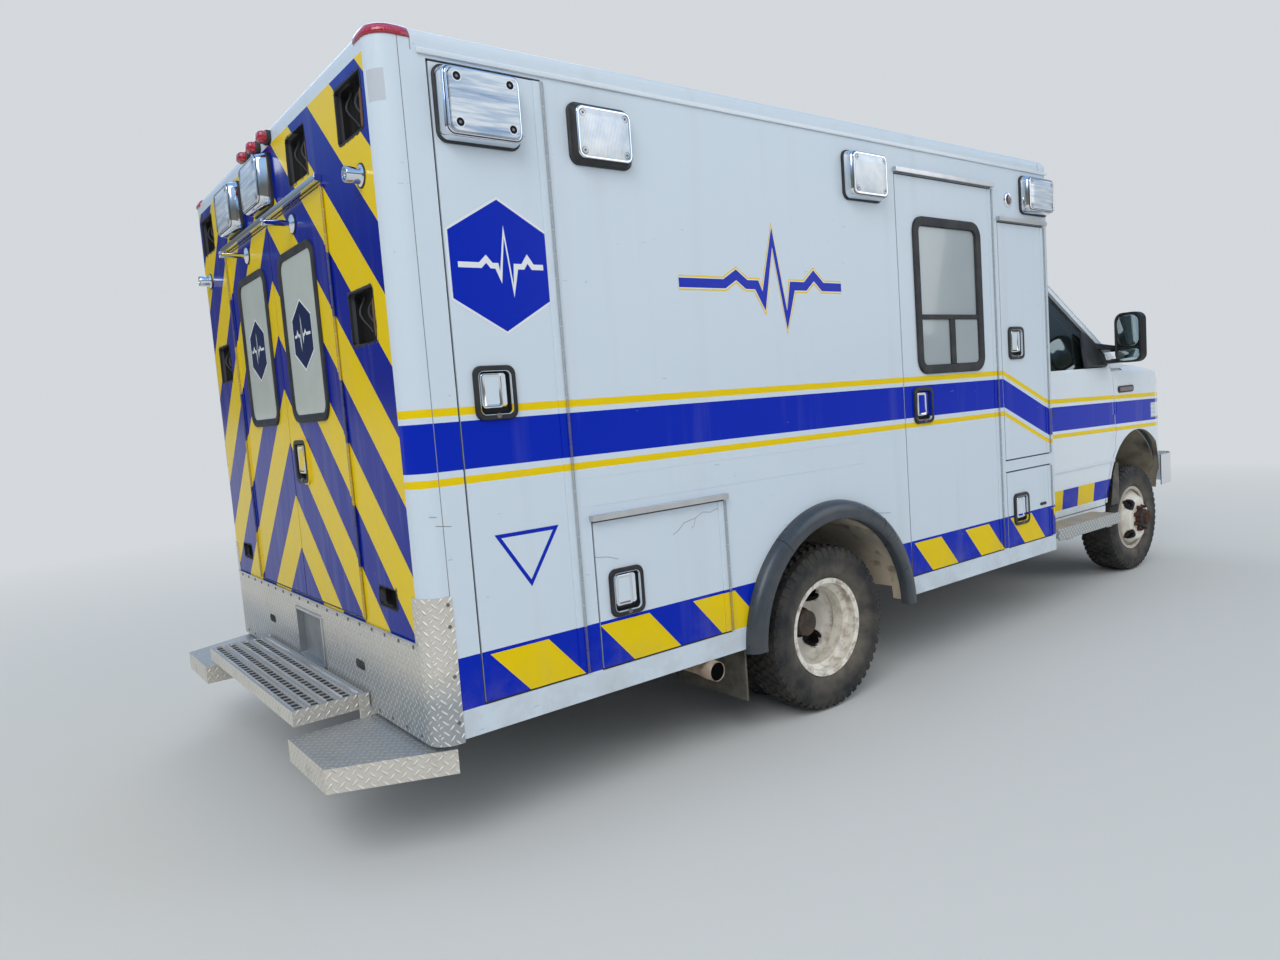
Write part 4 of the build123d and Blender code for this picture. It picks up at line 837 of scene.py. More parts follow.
def latch(name, place, middle, body, mirror=1):
    """A paddle latch: black bezel, black bowl, and the paddle that fills its rear part."""
    Build().stack(place, middle, [
        (153, 175, 29, 0.2), (153, 175, 29, 7), (147, 169, 27, 11.5), (124, 146, 21, 11.5),
        (117.4, 139.4, 19, 8), (117, 139, 19, 1),
    ], OPEN).make(name + "_bezel", "plastic", body, smooth=40)
    Build().stack(place, middle, [
        (117, 139, 19, 2), (115, 137, 18, -4), (112, 134, 16, -17), (100, 122, 12, -22.8),
        (60, 80, 8, -23.4),
    ], (False, True)).make(name + "_bowl", "plastic", body, smooth=50)
    spot_u, spot_v = middle[0] - 12 * mirror, middle[1] + 7
    rings = []
    for out, shrink in ((-20, 0), (2, 0), (4, 1), (5, 3), (5, 7), (5, 12), (5, 18), (5, 25), (5, 33)):
        ring = []
        for u, v in round_rect(74 - 2 * shrink, 112 - 2 * shrink, max(2, 10 - shrink / 2), 5):
            dish = 8.0 * max(0.0, 1 - (u / 36) ** 2) * max(0.0, 1 - (v / 55) ** 2)
            ring.append(place(spot_u + u, spot_v + v, out - dish))
        rings.append(ring)
    Build().loft(rings).make(name + "_paddle", "chrome", body, smooth=50)
    lock_at = (middle[0] + 2, middle[1] - 74)
    lock = Build().turned(place, [(9, 8), (9, 13), (7.4, 14.2), (2, 14.2)], 16, lock_at)
    lock.make(name + "_lock", "stainless", body)


def knuckles(name, place, low, high, body):
    """A long hinge: short barrels end to end on one pin."""
    radius, gap = 5.2, 0.35
    build = Build()
    count = max(2, int((high - low) / 80.0))
    step = (high - low) / count
    for index in range(count):
        foot, top = low + index * step + gap, low + (index + 1) * step - gap
        profile = [(radius - 0.3, foot), (radius, foot + 0.5), (radius, top - 0.5), (radius - 0.3, top)]
        build.turned(place, profile, 10)
    build.make(name, "stainless", body, smooth=40)


def seal(name, place, u0, u1, v0, v1):
    """The dark rubber round a door opening, seen in its gap."""
    section = ((0.6, -5), (9, -5), (9, -30), (0.6, -30))
    layers = [(u1 - u0 - cut, v1 - v0 - cut, 1, out) for cut, out in section]
    build = Build().stack(place, ((u0 + u1) / 2, (v0 + v1) / 2), layers, OPEN, close=True, steps=1)
    build.make(name, "rubber")


def rail(name, place, u0, u1, v, out, height, material="bright"):
    """A bright drip rail with a turned-up lip."""
    profile = [(0.3, v), (out + 1, v), (out + 1.6, v + height * 0.4), (out + 1, v + height + 1.2),
               (out - 3, v + height + 1.4), (0.3, v + height + 1)]
    rings = [[place(u, level, depth) for depth, level in profile] for u in (u0, u1)]
    Build().loft(rings).make(name, material, bevel=0.8)


def side_hinge(side, x):
    return lambda a, b, height: (x + a, side * (HALF + HINGE_OUT + b), height)


def rear_hinge(side):
    return lambda a, b, height: (-HINGE_OUT + b, side * REAR_DOOR_EDGE + a, height)


for name, side, x0, x1, z0, z1, handle_x, handle_z, railed in DOORS:
    place = on_side(side)
    latch(name + "_latch", place, (handle_x, handle_z), name)
    knuckles(name + "_hinge", side_hinge(side, x1), z0 + 7.5, z1 - 7.5, name)
    seal(name + "_seal", place, x0, x1, z0, z1)
    if railed:
        rail(name + "_rail", place, x0 - 7, x1 + 7, z1 + 0.4, 22, 20)
rail("rear_rail", on_rear, -REAR_DOOR_EDGE - 1, REAR_DOOR_EDGE + 1, 2264.4, 24, 22, "chrome")
seal("rear_doorway_seal", on_rear, -REAR_DOOR_EDGE, REAR_DOOR_EDGE, 735, 2262)
for side, side_name in SIDES:
    knuckles("rear_hinge_" + side_name, rear_hinge(side), 742.5, 2254.5, "rear_door_" + side_name)
latch("rear_latch", on_rear, (-141, 1302), "rear_door_right", mirror=-1)
Build().block(6, 30, -3.6, 3.6, 743, 2254).make("rear_meeting_seal", "rubber", "rear_door_right")


# Windows
def window_frame(name, place, edges, body, proud, width, radius, pane_out, pane_material):
    """A rounded black frame of even width that stands proud round a pane, and the pane inside it."""
    u0, u1, v0, v1 = edges
    middle = ((u0 + u1) / 2, (v0 + v1) / 2)
    layers = [
        (0, radius, 0.2), (0, radius, proud - 4), (5, radius - 2, proud - 0.6), (12, radius - 5, proud),
        (width, radius - width / 2, proud), (2 * width - 6, radius - width + 3, proud - 3),
        (2 * width, radius - width, proud - 7), (2 * width, radius - width, pane_out - 5),
    ]
    sizes = [(u1 - u0 - cut, v1 - v0 - cut, corner, out) for cut, corner, out in layers]
    Build().stack(place, middle, sizes, OPEN, steps=10).make(name, "rubber", body, smooth=40)
    pane = (u1 - u0 - 2 * width + 2, v1 - v0 - 2 * width + 2, radius - width)
    build = Build().stack(place, middle, [(*pane, pane_out - 2), (*pane, pane_out)], steps=10)
    build.make(name.replace("frame", "pane"), pane_material, body, smooth=0)


right_wall = on_side(RIGHT)
entry_edges = (2602, 3179, 1469, 2223)
window_frame("entry_window_frame", right_wall, entry_edges, "entry_door", 13, 44, 76, -3.5, "glazing")
bars = Build().block(2645, 3136, -HALF - 7, -HALF + 4, 1733, 1757)
bars.block(2886, 2930, -HALF - 5, -HALF + 4, 1512, 1735)
bars.make("entry_window_bars", "rubber", "entry_door", bevel=3)
slider = Build().block(2930, 3132, -HALF - 1.5, -HALF + 3, 1515, 1733)
slider.make("entry_window_slider", "glazing", "entry_door")
for side, side_name in SIDES:
    name, body = "rear_window_frame_" + side_name, "rear_door_" + side_name
    edges = (*sorted((side * 100, side * 532)), 1455, 2112)
    window_frame(name, on_rear, edges, body, 10, 31, 70, 2.6, "rear_pane")


# Decals: hexagons with a pulse line, a blank triangle, and a pulse line along the side
def direction(a, b):
    length = math.hypot(b[0] - a[0], b[1] - a[1])
    return ((b[0] - a[0]) / length, (b[1] - a[1]) / length)


def strip(points, width, place, out, closed=False):
    """A flat ribbon of even width along points."""
    count = len(points)
    left, right = [], []
    for i, (u, v) in enumerate(points):
        turns = []
        if closed or i > 0:
            turns.append(direction(points[i - 1], (u, v)))
        if closed or i < count - 1:
            turns.append(direction((u, v), points[(i + 1) % count]))
        du, dv = sum(d[0] for d in turns), sum(d[1] for d in turns)
        length = math.hypot(du, dv) or 1.0
        du, dv = du / length, dv / length
        half = width / 2 * min(2.2, 1 / max(0.3, abs(turns[0][0] * du + turns[0][1] * dv)))
        left.append(place(u - dv * half, v + du * half, out))
        right.append(place(u + dv * half, v - du * half, out))
    build = Build()
    build.verts = left + right
    pairs = [(i, i + 1) for i in range(count - 1)] + ([(count - 1, 0)] if closed else [])
    build.faces = [(a, b, count + b, count + a) for a, b in pairs]
    return build


PULSE = (
    (-1.0, 0), (-0.5, 0), (-0.36, 0.16), (-0.24, 0), (-0.12, 0), (-0.04, -0.28), (0.10, 0.85),
    (0.24, -0.62), (0.33, 0), (0.5, 0), (0.62, 0.2), (0.74, 0), (1.0, 0),
)
# Ribbons of the pulse line along the side, lowest first: width, height over the wall, film
SIDE_PULSE = (("edge", 56, 0.5, "yellow"), ("white", 44, 0.8, "white_film"), ("line", 36, 1.1, "blue"))


def pulse(middle, along, rise):
    return [(middle[0] + a * along, middle[1] + b * rise) for a, b in PULSE]


def emblem(name, place, middle, radius, out, body, film="blue"):
    """A hexagon with a white edge, crossed by a white pulse line."""
    for suffix, grow, lift, material in (("_edge", 9, 0.0, "white_film"), ("_disc", 0, 0.3, film)):
        build = Build()
        build.verts = [place(middle[0] + b, middle[1] + a, out + lift) for a, b in circle(radius + grow, 6)]
        build.faces = [tuple(range(6))]
        build.make(name + suffix, material, body, smooth=0)
    line = strip(pulse(middle, radius * 0.74, radius * 0.62), radius * 0.085, place, out + 0.6)
    line.make(name + "_pulse", "white_film", body, smooth=0)


emblem("door_emblem", right_wall, (372, 1905), 210, 0.5, "door_rear_tall_right")
emblem("left_emblem", on_side(LEFT), (372, 1905), 210, 0.5, "vehicle")
for side, side_name in SIDES:
    body = "rear_door_" + side_name
    emblem("window_emblem_" + side_name, on_rear, (side * 316, 1785), 128, 3.2, body, "navy")
    body = "door_rear_tall_right" if side == RIGHT else "vehicle"
    triangle = strip([(270, 1035), (492, 1035), (381, 863)], 13, on_side(side), 0.5, closed=True)
    triangle.make("triangle_sign_" + side_name, "blue", body, smooth=0)
    for part, width, out, film in SIDE_PULSE:
        ribbon = strip(pulse((1590, 1872), 470, 230), width, on_side(side), out)
        ribbon.make(f"pulse_{part}_{side_name}", film, smooth=0)

# Scratches and cracks: name, width, body and points on the right side
MARKS = (
    ("door_crack", 1.8, "door_rear_lower_right", [
        (1268, 992), (1232, 999), (1200, 990), (1160, 996), (1120, 978), (1062, 968), (1030, 942),
        (1005, 930),
    ]),
    ("door_crack_branch", 1.4, "door_rear_lower_right", [(1120, 978), (1112, 950), (1096, 941)]),
    ("wall_scrape", 1.6, "door_rear_lower_right", [(640, 905), (700, 897), (742, 882)]),
    ("post_scrape_a", 2.0, "vehicle", [(60, 1100), (112, 1092)]),
    ("post_scrape_b", 1.6, "vehicle", [(40, 1131), (66, 1128)]),
    ("wall_scrape_c", 2.0, "vehicle", [(2160, 862), (2260, 842), (2330, 834)]),
)
for name, width, body, points in MARKS:
    strip(points, width, right_wall, 0.45).make(name, "scratch", body, smooth=0)

# Wheels
FRONT_TYRE_Y = 881.5
OUTER_TYRE_Y, INNER_TYRE_Y = 1068, 773
DISH = 140
TYRE_STEPS = 96
TREAD_COUNT = 50
# Each row of tread blocks: its middle across the tyre, width, fill, phase round the tyre, skew in degrees
TREAD_ROWS = (
    (-88, 30, 0.62, 0.0, 12), (-50, 30, 0.60, 0.5, -14), (-12, 26, 0.66, 0.1, 10),
    (26, 28, 0.62, 0.6, -12), (62, 26, 0.6, 0.2, 14), (93, 26, 0.62, 0.7, -8),
)


def tyre_mesh(name, axle_x, middle_y, body):
    """A road tyre: turned casing, ribs on its walls, and rows of tread blocks."""
    def place(u, v, out):
        return (axle_x + u, middle_y + out, WHEEL_Z + v)

    def around(radius, angle, across):
        return place(radius * math.cos(angle), radius * math.sin(angle), across)

    build = Build()
    half = 112.5
    wall = [(206, 76), (222, 79), (227, 92), (250, 104), (285, half), (318, half - 1), (336, half - 5),
            (350, half - 11), (359, half - 22), (361, 60)]
    casing = [(radius, -across) for radius, across in wall] + [(362, 0)] + wall[::-1]
    build.turned(place, casing, TYRE_STEPS, caps=OPEN)
    for rib, top in ((262, half - 6), (308, half)):
        for face in (-1, 1):
            profile = ((rib - 4, half - 9), (rib - 1, top), (rib + 2, top), (rib + 6, half - 9))
            profile = [(radius, face * across) for radius, across in profile]
            build.turned(place, profile, TYRE_STEPS, caps=OPEN)
    pitch = math.pi / TREAD_COUNT
    for across, width, fill, phase, skew in TREAD_ROWS:
        edge = abs(across) > 80
        low, top = (352.0, 366.5) if edge else (358.0, 371.0)
        face = 1 if across > 0 else -1
        for i in range(TREAD_COUNT):
            middle = 2 * pitch * (i + phase)
            block = ([], [])
            for along, side in ((-1, -1), (1, -1), (1, 1), (-1, 1)):
                angle = along * pitch * fill + side * math.radians(skew) * 0.09
                reach = side * width / 2 * (1.0 + 0.08 * along)
                for ring, radius, shrink in zip(block, (low, top), (1.0, 0.86)):
                    y = across + reach * shrink
                    drop = 10.0 * max(0.0, (abs(y) - 84) / 24) ** 2 if edge else 0.0
                    ring.append(around(radius - drop, middle + angle * shrink, y))
            build.loft(block, (False, True))
            if edge:
                build.loft([
                    [around(radius, middle + k * pitch * 0.5, face * (half - sunk - depth))
                     for k, depth in ((-1, 6), (-0.8, 0), (0.8, 0), (1, 6))]
                    for radius, sunk in ((322, 2.0), (330, 0.0), (352, 8.0), (360, 18))
                ], OPEN)
    return build.make(name, "tyre", body, smooth=42)


def nuts(name, place, axle_x, out, body):
    """Eight wheel nuts with washers, on studs."""
    build = Build()
    for a, b in circle(82.55, 8, 0.5):
        spot = (axle_x + a, WHEEL_Z + b)
        build.turned(place, [(15.5, out), (15.5, out + 3)], 12, spot)
        build.turned(place, [(12.5, out + 3), (12.5, out + 23), (9.5, out + 26)], 6, spot)
        build.turned(place, [(7, out + 26), (7, out + 35), (5, out + 37)], 8, spot)
    build.make(name, "cast", body, smooth=30)


for side, side_name in SIDES:
    front_body, rear_body = "wheel_front_" + side_name, "wheels_rear_" + side_name
    front = tyre_mesh("road_tyre_front_" + side_name, FRONT_AXLE_X, side * FRONT_TYRE_Y, front_body)
    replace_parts(front, "tyre_front_" + side_name)
    outer = tyre_mesh("road_tyre_rear_outer_" + side_name, REAR_AXLE_X, side * OUTER_TYRE_Y, rear_body)
    tyre_mesh("road_tyre_rear_inner_" + side_name, REAR_AXLE_X, side * INNER_TYRE_Y, rear_body)
    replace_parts(outer, "tyres_rear_" + side_name)
    face, dish = on_side(side, FRONT_TYRE_Y + DISH), on_side(side, OUTER_TYRE_Y - DISH)
    nuts("front_nuts_" + side_name, face, FRONT_AXLE_X, 0.2, front_body)
    nuts("rear_nuts_" + side_name, dish, REAR_AXLE_X, 10.2, rear_body)
    hub = [(58.6, 10), (58.6, 96), (54, 104), (50, 104), (48, 100), (20, 100), (18, 104), (6, 105)]
    hub = Build().turned(dish, hub, 32, (REAR_AXLE_X, WHEEL_Z))
    hub.make("rear_hub_" + side_name, "frame", rear_body, smooth=40)
    cap = [(64.5, 20), (64.5, 36), (58, 40), (44, 41), (41, 46), (41, 55), (37, 59.5), (27, 60), (25, 58.4)]
    cap = Build().turned(face, cap, 28, (FRONT_AXLE_X, WHEEL_Z))
    cap.make("front_hub_cap_" + side_name, "cast", front_body, smooth=40)


def exhaust_mouth(u, v, out):
    return (1150 + u, -1236 - out, 372 + v)


flared = [(32.4, -90), (35, -62), (39, -50), (39, 5), (37.5, 6.5), (36, 5), (36, 0.8)]
Build().turned(exhaust_mouth, flared, 32, caps=OPEN).make("exhaust_tip", "pipe", smooth=50)
# A near-black disc just inside the pipe's mouth: painted shade.
Build().turned(exhaust_mouth, [(36.2, 0.4), (36.2, 0.9)], 32).make("exhaust_mouth", "shade_black", smooth=0)


# Wheel arch flares: a rubber section swept round the arch, with straight feet and a joint
FLARE_SECTION = (
    (562, 0.3), (561, 12), (552, 34), (534, 47), (508, 51), (488, 51), (481, 47), (477.5, 38), (477.5, 0.3),
)


def flare_piece(side, side_name):
    def ring(angle, foot=None):
        points = []
        for radius, out in FLARE_SECTION:
            z = REAR_ARCH_Z + radius * math.sin(angle) if foot is None else foot
            points.append((REAR_AXLE_X + radius * math.cos(angle), side * (HALF + out), z))
        return points

    def joint_ring(angle):
        points = []
        for radius, out in FLARE_SECTION:
            over, under = 1.2 * (radius > 520), 1.2 * (radius < 479)
            x = REAR_AXLE_X + (radius + over - under) * math.cos(angle)
            z = REAR_ARCH_Z + (radius + over) * math.sin(angle)
            points.append((x, side * (HALF + out + 0.8 * (out > 20)), z))
        return points

    arch = [ring(math.radians(180 - 180 * i / 44)) for i in range(1, 44)]
    feet = [[ring(angle, foot) for foot in (391, 398)] for angle in (math.pi, 0.0)]
    flare = Build().loft(feet[0] + arch + feet[1][::-1]).make("arch_flare_" + side_name, "flare", smooth=50)
    joint = Build()
    for angle in (math.radians(128), math.radians(52)):
        joint.loft([joint_ring(angle - 0.0022), joint_ring(angle + 0.0022)])
    joint.make("flare_joints_" + side_name, "plastic")
    return flare


for side, side_name in SIDES:
    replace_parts(flare_piece(side, side_name), "wheel_flares")


# Rear step: serrated strips, and slots as thin black plates of painted shade, on the flip-up tread
def serrated_tread():
    top_z, ridge_z = 464.5, 469.0
    teeth, slots = Build(), Build()
    for strip_x in range(-268, -43, 56):
        for x in (strip_x, strip_x + 6):
            for y in range(-612, 610, 17):
                foot = rectangle(x - 2.2, x + 2.2, y, y + 12, top_z)
                teeth.loft([foot, rectangle(x - 1.4, x + 1.4, y + 3, y + 8, ridge_z)])
    # Thin black plates stand for the slots: painted shade.
    for x in range(-256, -87, 56):
        for y in range(-600, 590, 44):
            slots.block(x, x + 28, y, y + 26, 457.4, 457.9)
    teeth.make("step_teeth", "bright", "flip_step", smooth=0)
    slots.make("step_slots", "frame", "flip_step", smooth=0)


serrated_tread()


# Rear cover: plate recess, rivets, and oval holes as thin black plates of painted shade
def rear_cover_details():
    plate = (0, 563)
    Build().stack(on_rear, plate, [
        (352, 228, 10, 3.1), (352, 228, 10, 7.5), (346, 222, 9, 9), (326, 202, 7, 9), (322, 198, 6, 7),
        (322, 198, 6, -19),
    ], OPEN).make("plate_frame", "bright", smooth=40)
    back = Build().prism(round_rect(321, 197, 6, 5, plate), on_rear, -21.5, -20.2)
    back.make("plate_back_panel", "plate_back", smooth=0)
    rivets, ovals = Build(), Build()
    for y in range(-1090, 1091, 120):
        for z in (420, 712):
            if abs(y) > 200 or z > 700:
                rivets.turned(on_rear, [(7, 2.6), (6.4, 4.6), (4, 6.0), (1.4, 6.4)], 10, (y, z))
    for side in (RIGHT, LEFT):
        for z in (470, 620, 780, 850):
            rivets.turned(on_side(side), [(6.5, 2.6), (6, 4.4), (3.6, 5.6), (1.2, 6.0)], 10, (74, z))
    rivets.make("cover_rivets", "stainless")
    # Thin black plates stand for the oval holes: painted shade.
    for y in (-575, 575):
        ovals.prism(round_rect(96, 34, 17, 8, (y, 556)), on_rear, 2.6, 3.4)
    ovals.make("cover_oval_holes", "frame", smooth=0)
    Build().block(-9, -2.5, -1126, 1126, 722, 730).make("cover_top_edge", "bright", bevel=1)


rear_cover_details()


# Hold-open posts on the rear doors, and the cups that catch them
POST = (
    (34, 0.4), (34, 5), (30, 9), (15, 12), (11.5, 16), (11.5, 96), (14, 100), (14, 112), (11, 115), (4, 116),
)
CUP = ((34, 0.4), (34, 4), (27, 8), (25, 16), (25, 50), (23.5, 53), (18, 53), (17, 50), (17, 26))
GASKET = ((38, 0.2), (38, 3), (35, 4.2))
HOLD_OPEN_Z = 2195
for side, side_name in SIDES:
    for name, gasket_name, profile, y, body in (
        ("hold_open_post_", "hold_open_gasket_", POST, 330, "rear_door_" + side_name),
        ("catch_cup_", "catch_cup_gasket_", CUP, 1040, "vehicle"),
    ):
        spot = (side * y, HOLD_OPEN_Z)
        Build().turned(on_rear, profile, 28, spot).make(name + side_name, "chrome", body, smooth=40)
        Build().turned(on_rear, GASKET, 28, spot).make(gasket_name + side_name, "rubber", body, smooth=40)


# Roof: red marker lamps, corner markers, joints and a drip lip
def corner_marker(side, side_name):
    """A red lamp bent round the roof's rear corner."""
    corner, edge_radius = 70, 45
    path = [(0, HALF - 127, 1, 0, 0.0), (0, HALF - 122, 1, 0, 0.8), (0, HALF - 90, 1, 0, 1.0)]
    for i in range(13):
        c, s = math.cos(math.radians(7.5 * i)), math.sin(math.radians(7.5 * i))
        path.append((corner - corner * c, HALF - corner + corner * s, c, s, 1.0))
    path += [(90, HALF, 0, 1, 1.0), (120, HALF, 0, 1, 0.8), (126, HALF, 0, 1, 0.0)]
    rings = []
    for x, y, nx, ny, swell in path:
        ring = []
        for turn, proud in ((4, -3), (5, 4), (9, 7), (20, 8.5), (38, 8), (48, 5.5), (52, 3), (50, -4)):
            radius = edge_radius + proud * max(swell, 0.05)
            reach = radius * math.cos(math.radians(turn)) - edge_radius
            z = ROOF_TOP_Z - edge_radius + radius * math.sin(math.radians(turn))
            ring.append((x - nx * reach, side * (y + ny * reach), z))
        rings.append(ring)
    Build().loft(rings).make("corner_marker_" + side_name, "lens_red", smooth=50)


def roof_details():
    lamp_z = 2558
    for y in (-150, 0, 150):
        base = Build().stack(on_rear, (y, lamp_z), [(66, 48, 16, -3), (66, 48, 16, 14), (62, 44, 14, 17)])
        base.make(f"roof_lamp_base_{y}", "plastic", smooth=40)
        Build().stack(on_rear, (y, lamp_z), [
            (58, 42, 13, 15), (57, 41, 13, 30), (52, 37, 13, 39), (40, 28, 11, 45), (20, 14, 6, 47),
        ]).make(f"roof_lamp_{y}", "lens_red", smooth=60)
    lip = Build()
    for side, side_name in SIDES:
        corner_marker(side, side_name)
        joints = Build()
        for x in (124, 3800):
            inner_y, outer_y = sorted((side * (HALF - 30), side * (HALF + 0.7)))
            joints.block(x - 1.1, x + 1.1, inner_y, outer_y, ROOF_SEAM_Z + 2, ROOF_TOP_Z - 30)
        joints.make("roof_joints_" + side_name, "plate_back", smooth=0)
        place = on_side(side)
        profile = [(0.2, 0), (7, -1), (9, 5), (9, 13), (6, 17), (0.2, 18)]
        ends = (142, LENGTH - 40)
        lip.loft([[place(x, ROOF_SEAM_Z - 4 + rise, out) for out, rise in profile] for x in ends])
    lip.make("roof_drip_lip", "white_trim", bevel=1.5)


roof_details()

# Small round lamp ahead of the entry door, and the small vent
ROUND_LAMP = (3471, 2365)
flange = Build().turned(right_wall, [(38, 0.3), (38, 3), (33, 7), (27, 8), (25, 5)], 32, ROUND_LAMP)
flange.make("round_lamp_flange", "chrome", smooth=40)
lens = Build().turned(right_wall, [(25.5, 3), (24, 9), (17, 14), (6, 16)], 28, ROUND_LAMP)
lens.make("round_lamp_lens", "lens_dark", smooth=60)
vent = Build().stack(right_wall, (3735, 697), [(64, 15, 7, 0.3), (64, 15, 7, 4), (58, 10, 5, 6)])
vent.make("small_vent", "plastic", smooth=40)


# Cab details
OCTAGON = ((-1, -0.6), (-0.6, -1), (0.6, -1), (1, -0.6), (1, 0.6), (0.6, 1), (-0.6, 1), (-1, 0.6))
# Mirror arms along their length: y, x, width and share of their height
ARM_PATH = ((950, 4960, 110, 1.0), (1000, 5010, 70, 0.75), (1045, 5056, 40, 0.6), (1085, 5072, 30, 0.6))
MIRROR_FACE_X, MIRROR_Y = 5003, 1149
FENDER_MARKER = (5282, 1284)


def mirror(side, side_name, body):
    """A door mirror: sail panel, two arms, glass and the rim round it."""
    outline = [(4735, 1446), (5046, 1446), (5046, 1530), (4862, 1672), (4812, 1690), (4760, 1560)]
    mid_x, mid_z = 4900, 1530
    rings = []
    for out, scale in ((0, 1.0), (14, 1 - 2 / 140), (22, 1 - 12 / 140)):
        ring = []
        for x, z in outline:
            z = mid_z + (z - mid_z) * scale
            ring.append((mid_x + (x - mid_x) * scale, side * (984 - (z - 1440) * 0.238 + out), z))
        rings.append(ring)
    Build().loft(rings).make("mirror_sail_" + side_name, "plastic", body, smooth=30, bevel=4)
    arms = Build()
    for z, rise, height in ((1474, 0, 34), (1584, -20, 46)):
        rings = []
        for y, x, width, share in ARM_PATH:
            level, thick = z + rise * (y - ARM_PATH[0][0]) / 100, height * share
            rings.append([(x + a * width / 2, side * y, level + b * thick / 2) for a, b in OCTAGON])
        arms.loft(rings)
    arms.make("mirror_arms_" + side_name, "plastic", body, smooth=50)
    face = lambda u, v, out: (MIRROR_FACE_X - out, u, v)
    y = side * MIRROR_Y
    panes = Build().stack(face, (y, 1668), [(132, 200, 46, 0.3), (132, 200, 46, 2.5), (126, 194, 44, 3)])
    panes.stack(face, (y, 1510), [(136, 74, 20, 0.3), (136, 74, 20, 3.5), (118, 58, 16, 6)])
    panes.make("mirror_glass_" + side_name, "mirror", body, smooth=50)
    rim = Build().stack(face, (y, 1624), [
        (166, 324, 58, -8), (166, 324, 58, 4), (160, 318, 56, 7), (142, 300, 48, 5), (136, 296, 44, 1),
    ], OPEN)
    rim.prism([(y - 70, 1552), (y + 70, 1552), (y + 70, 1562), (y - 70, 1562)], face, 0.2, 4.6)
    rim.make("mirror_rim_" + side_name, "plastic", body, smooth=40)


def cab_side(side, side_name):
    body = "cab_door_" + side_name
    place = on_side(side, CAB_HALF)
    profile = [(-2, 797), (5, 799), (9, 806), (9, 818), (5, 825), (-2, 827)]
    mould = Build().loft([[place(x, z, out) for out, z in profile] for x in (4160, 5070)])
    mould.make("door_moulding_" + side_name, "white_trim", body, smooth=40)
    mirror(side, side_name, body)
    rim = Build().stack(place, FENDER_MARKER, [(232, 46, 20, -14), (232, 46, 20, 2), (222, 38, 17, 5)])
    rim.make("fender_marker_rim_" + side_name, "plastic", smooth=50)
    lens = Build().stack(place, FENDER_MARKER, [(214, 32, 14, 3), (208, 27, 12, 7.5)])
    lens.make("fender_marker_" + side_name, "lens_dark", smooth=50)
    handle = Build().stack(place, (4213, 1180), [(98, 58, 24, 0.2), (98, 58, 24, 5), (90, 50, 20, 8)])
    handle.make("cab_handle_base_" + side_name, "plastic", body, smooth=50)
    pull = Build().stack(place, (4204, 1186), [(74, 26, 12, 7), (74, 26, 12, 17), (66, 19, 9, 20.5)])
    pull.make("cab_handle_" + side_name, "plastic", body, smooth=50)
    outline = [(5003, 512), (5118, 512), (5118, 792), (5086, 792), (5044, 726)]
    guard = Build().prism(outline, on_side(side, 1013), 0, 4)
    guard.make("splash_guard_" + side_name, "flap", smooth=0)
    board_edge = Build().block(3938, 4716, *sorted((side * 1182, side * 1192.5)), 444, 514)
    board_edge.make("running_board_edge_" + side_name, "tread", bevel=2)


def wipers():
    """Two arms that lie against the windscreen."""
    foot_x, foot_z = 5254, 1485
    screen_z = 1640
    screen_x = 4560 + (2014 - screen_z) / 0.786
    tip_x, tip_z = screen_x + 14, screen_z + 8
    section = ((0.6, -0.8, 0.6), (0.6, 0.8, 0.6), (-0.6, 0.8, -0.2), (-0.6, -0.8, -0.2))
    build = Build()
    for foot_y, tip_y in ((80, 560), (-640, -160)):
        ends = (((foot_x, foot_y, foot_z), 9), ((tip_x, tip_y, tip_z), 5))
        build.loft([[(x + a * w, y + b * w, z + c * w) for a, b, c in section] for (x, y, z), w in ends])
    build.make("wiper_arms", "plastic", smooth=40)


for side, side_name in SIDES:
    cab_side(side, side_name)
wipers()


# Stage, light and camera
def stage():
    """A plain floor that fades into the backdrop."""
    bpy.ops.mesh.primitive_plane_add(size=400, location=(0, 0, 0))
    floor = bpy.context.active_object
    floor.name = "stage_floor"
    look = Look("stage_floor", (0.74, 0.74, 0.73), 0.9, specular=0.1)
    x, y, _ = look.place()
    away = distance((x - MID_X) * 0.001, y * 0.001)
    material = look.done()
    tree = look.tree
    glow = add_node(tree, "Emission", {"Color": (*BACKDROP, 1)})
    rays = add_node(tree, "LightPath").outputs
    shown = Field(tree, rays["Is Camera Ray"]).either(rays["Is Glossy Ray"])
    shown = shown.either(rays["Is Transmission Ray"])
    far = add_node(tree, "MixShader", {
        0: away.ramp(4.2, 10.0) * shown, 1: look.shader.outputs[0], 2: glow.outputs[0],
    })
    feed(tree, tree.nodes["Material Output"].inputs["Surface"], far.outputs[0])
    floor.data.materials.append(material)


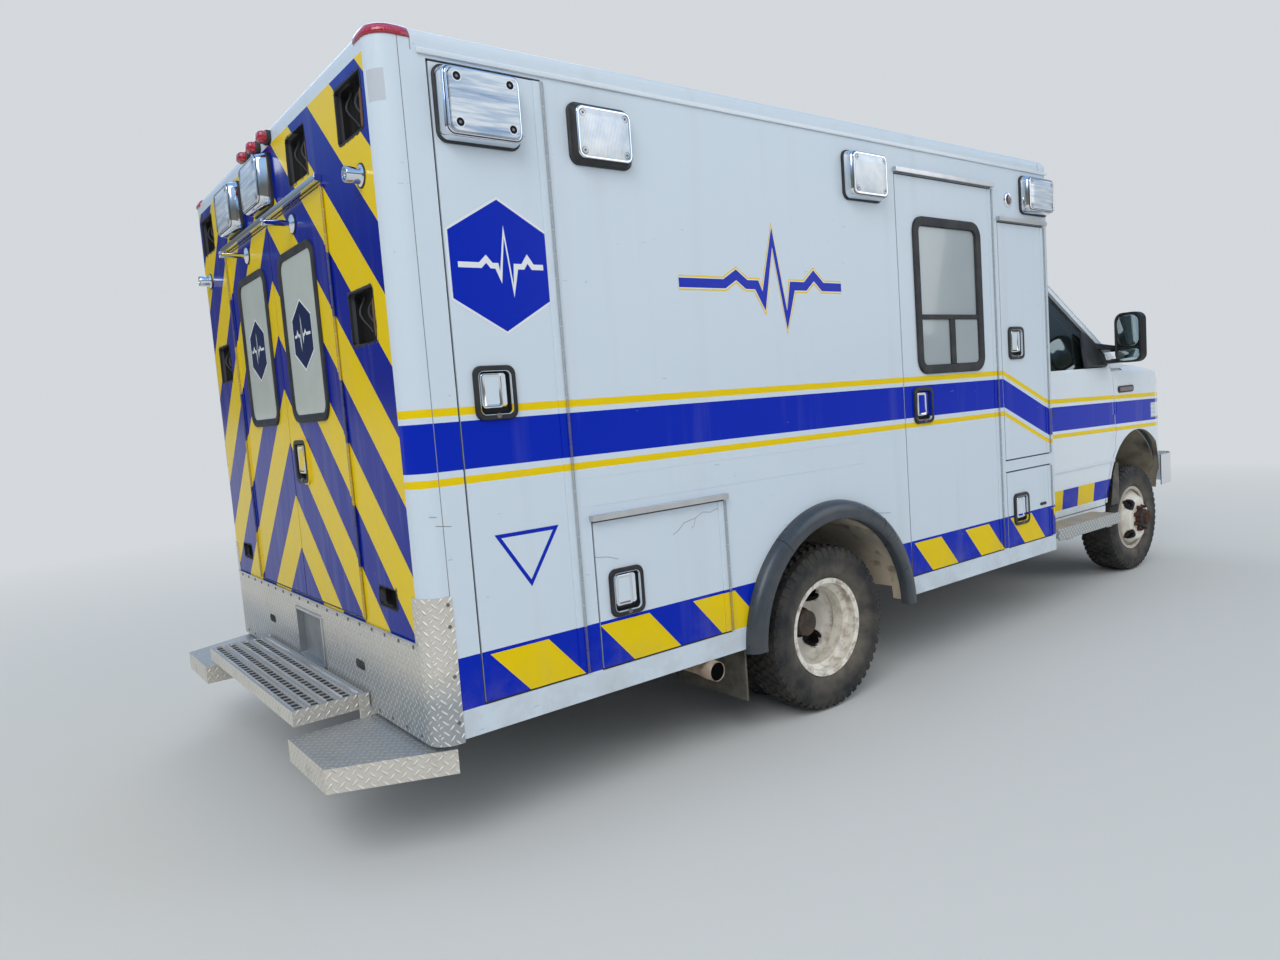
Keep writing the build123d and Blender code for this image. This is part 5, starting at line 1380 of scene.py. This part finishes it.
def sky():
    """Soft light from all round, a banded sky in reflections, and the plain backdrop behind."""
    world = bpy.data.worlds.new("studio")
    bpy.context.scene.world = world
    world.use_nodes = True
    tree = world.node_tree
    tree.nodes.clear()
    split = add_node(tree, "SeparateXYZ", {0: add_node(tree, "TexCoord").outputs["Generated"]})
    height = Field(tree, split.outputs["Z"]).op("MULTIPLY_ADD", 0.5, 0.5)
    ramp = add_node(tree, "ValToRGB", {"Fac": height})
    stops = ramp.color_ramp.elements
    stops[0].position, stops[0].color = 0.50, (*BACKDROP, 1)
    stops[1].position, stops[1].color = 0.90, (0.26, 0.48, 0.90, 1)
    for position, *color in ((0.512, 0.20, 0.18, 0.15), (0.60, 0.13, 0.15, 0.15), (0.67, 0.42, 0.64, 0.98)):
        stops.new(position).color = (*color, 1)
    rays = add_node(tree, "LightPath").outputs
    mirrored = Field(tree, rays["Is Glossy Ray"]).either(rays["Is Transmission Ray"])
    soft = add_node(tree, "Background", {"Color": (0.82, 0.92, 1.0, 1), "Strength": 0.56})
    banded = add_node(tree, "Background", {"Color": ramp.outputs["Color"], "Strength": 1.0})
    back = add_node(tree, "Background", {"Color": (*BACKDROP, 1)})
    light = add_node(tree, "MixShader", {0: mirrored, 1: soft.outputs[0], 2: banded.outputs[0]})
    seen = add_node(tree, "MixShader", {0: rays["Is Camera Ray"], 1: light.outputs[0], 2: back.outputs[0]})
    add_node(tree, "OutputWorld", {"Surface": seen.outputs[0]})


def area_lights():
    for name, place, size, power, aim in (
        ("key", (-8.0, -6.0, 8.0), 6.0, 430, (-1.0, 0.0, 1.0)),
        ("fill", (6.0, -8.0, 5.0), 6.0, 170, (1.0, 0.0, 1.0)),
        ("far", (2.0, 9.0, 7.0), 7.0, 220, (0.0, 0.0, 1.2)),
    ):
        data = bpy.data.lights.new(name, "AREA")
        data.size = size
        data.energy = power
        lamp = bpy.data.objects.new(name, data)
        bpy.context.scene.collection.objects.link(lamp)
        lamp.location = place
        lamp.rotation_mode = "QUATERNION"
        lamp.rotation_quaternion = (Vector(aim) - Vector(place)).to_track_quat("-Z", "Y")


def camera():
    """The photograph's camera, 872.263 pixels of focal length over 1280 pixels of width."""
    data = bpy.data.cameras.new("camera")
    data.sensor_width = 36.0
    data.lens = 872.263 / 1280 * data.sensor_width
    data.clip_start, data.clip_end = 0.05, 200
    cam = bpy.data.objects.new("camera", data)
    bpy.context.scene.collection.objects.link(cam)
    right = Vector((0.7874, -0.6119, -0.0750))
    up = Vector((0.1120, 0.0224, 0.9935))
    ahead = Vector((0.6062, 0.7906, -0.0862))
    turn = Matrix((right, up, -ahead)).transposed().to_4x4()
    cam.matrix_world = Matrix.Translation(mm(-1061.7, -3722.5, 1427.9)) @ turn
    bpy.context.scene.camera = cam


stage()
sky()
area_lights()
camera()
bpy.context.scene.view_settings.view_transform = "Standard"
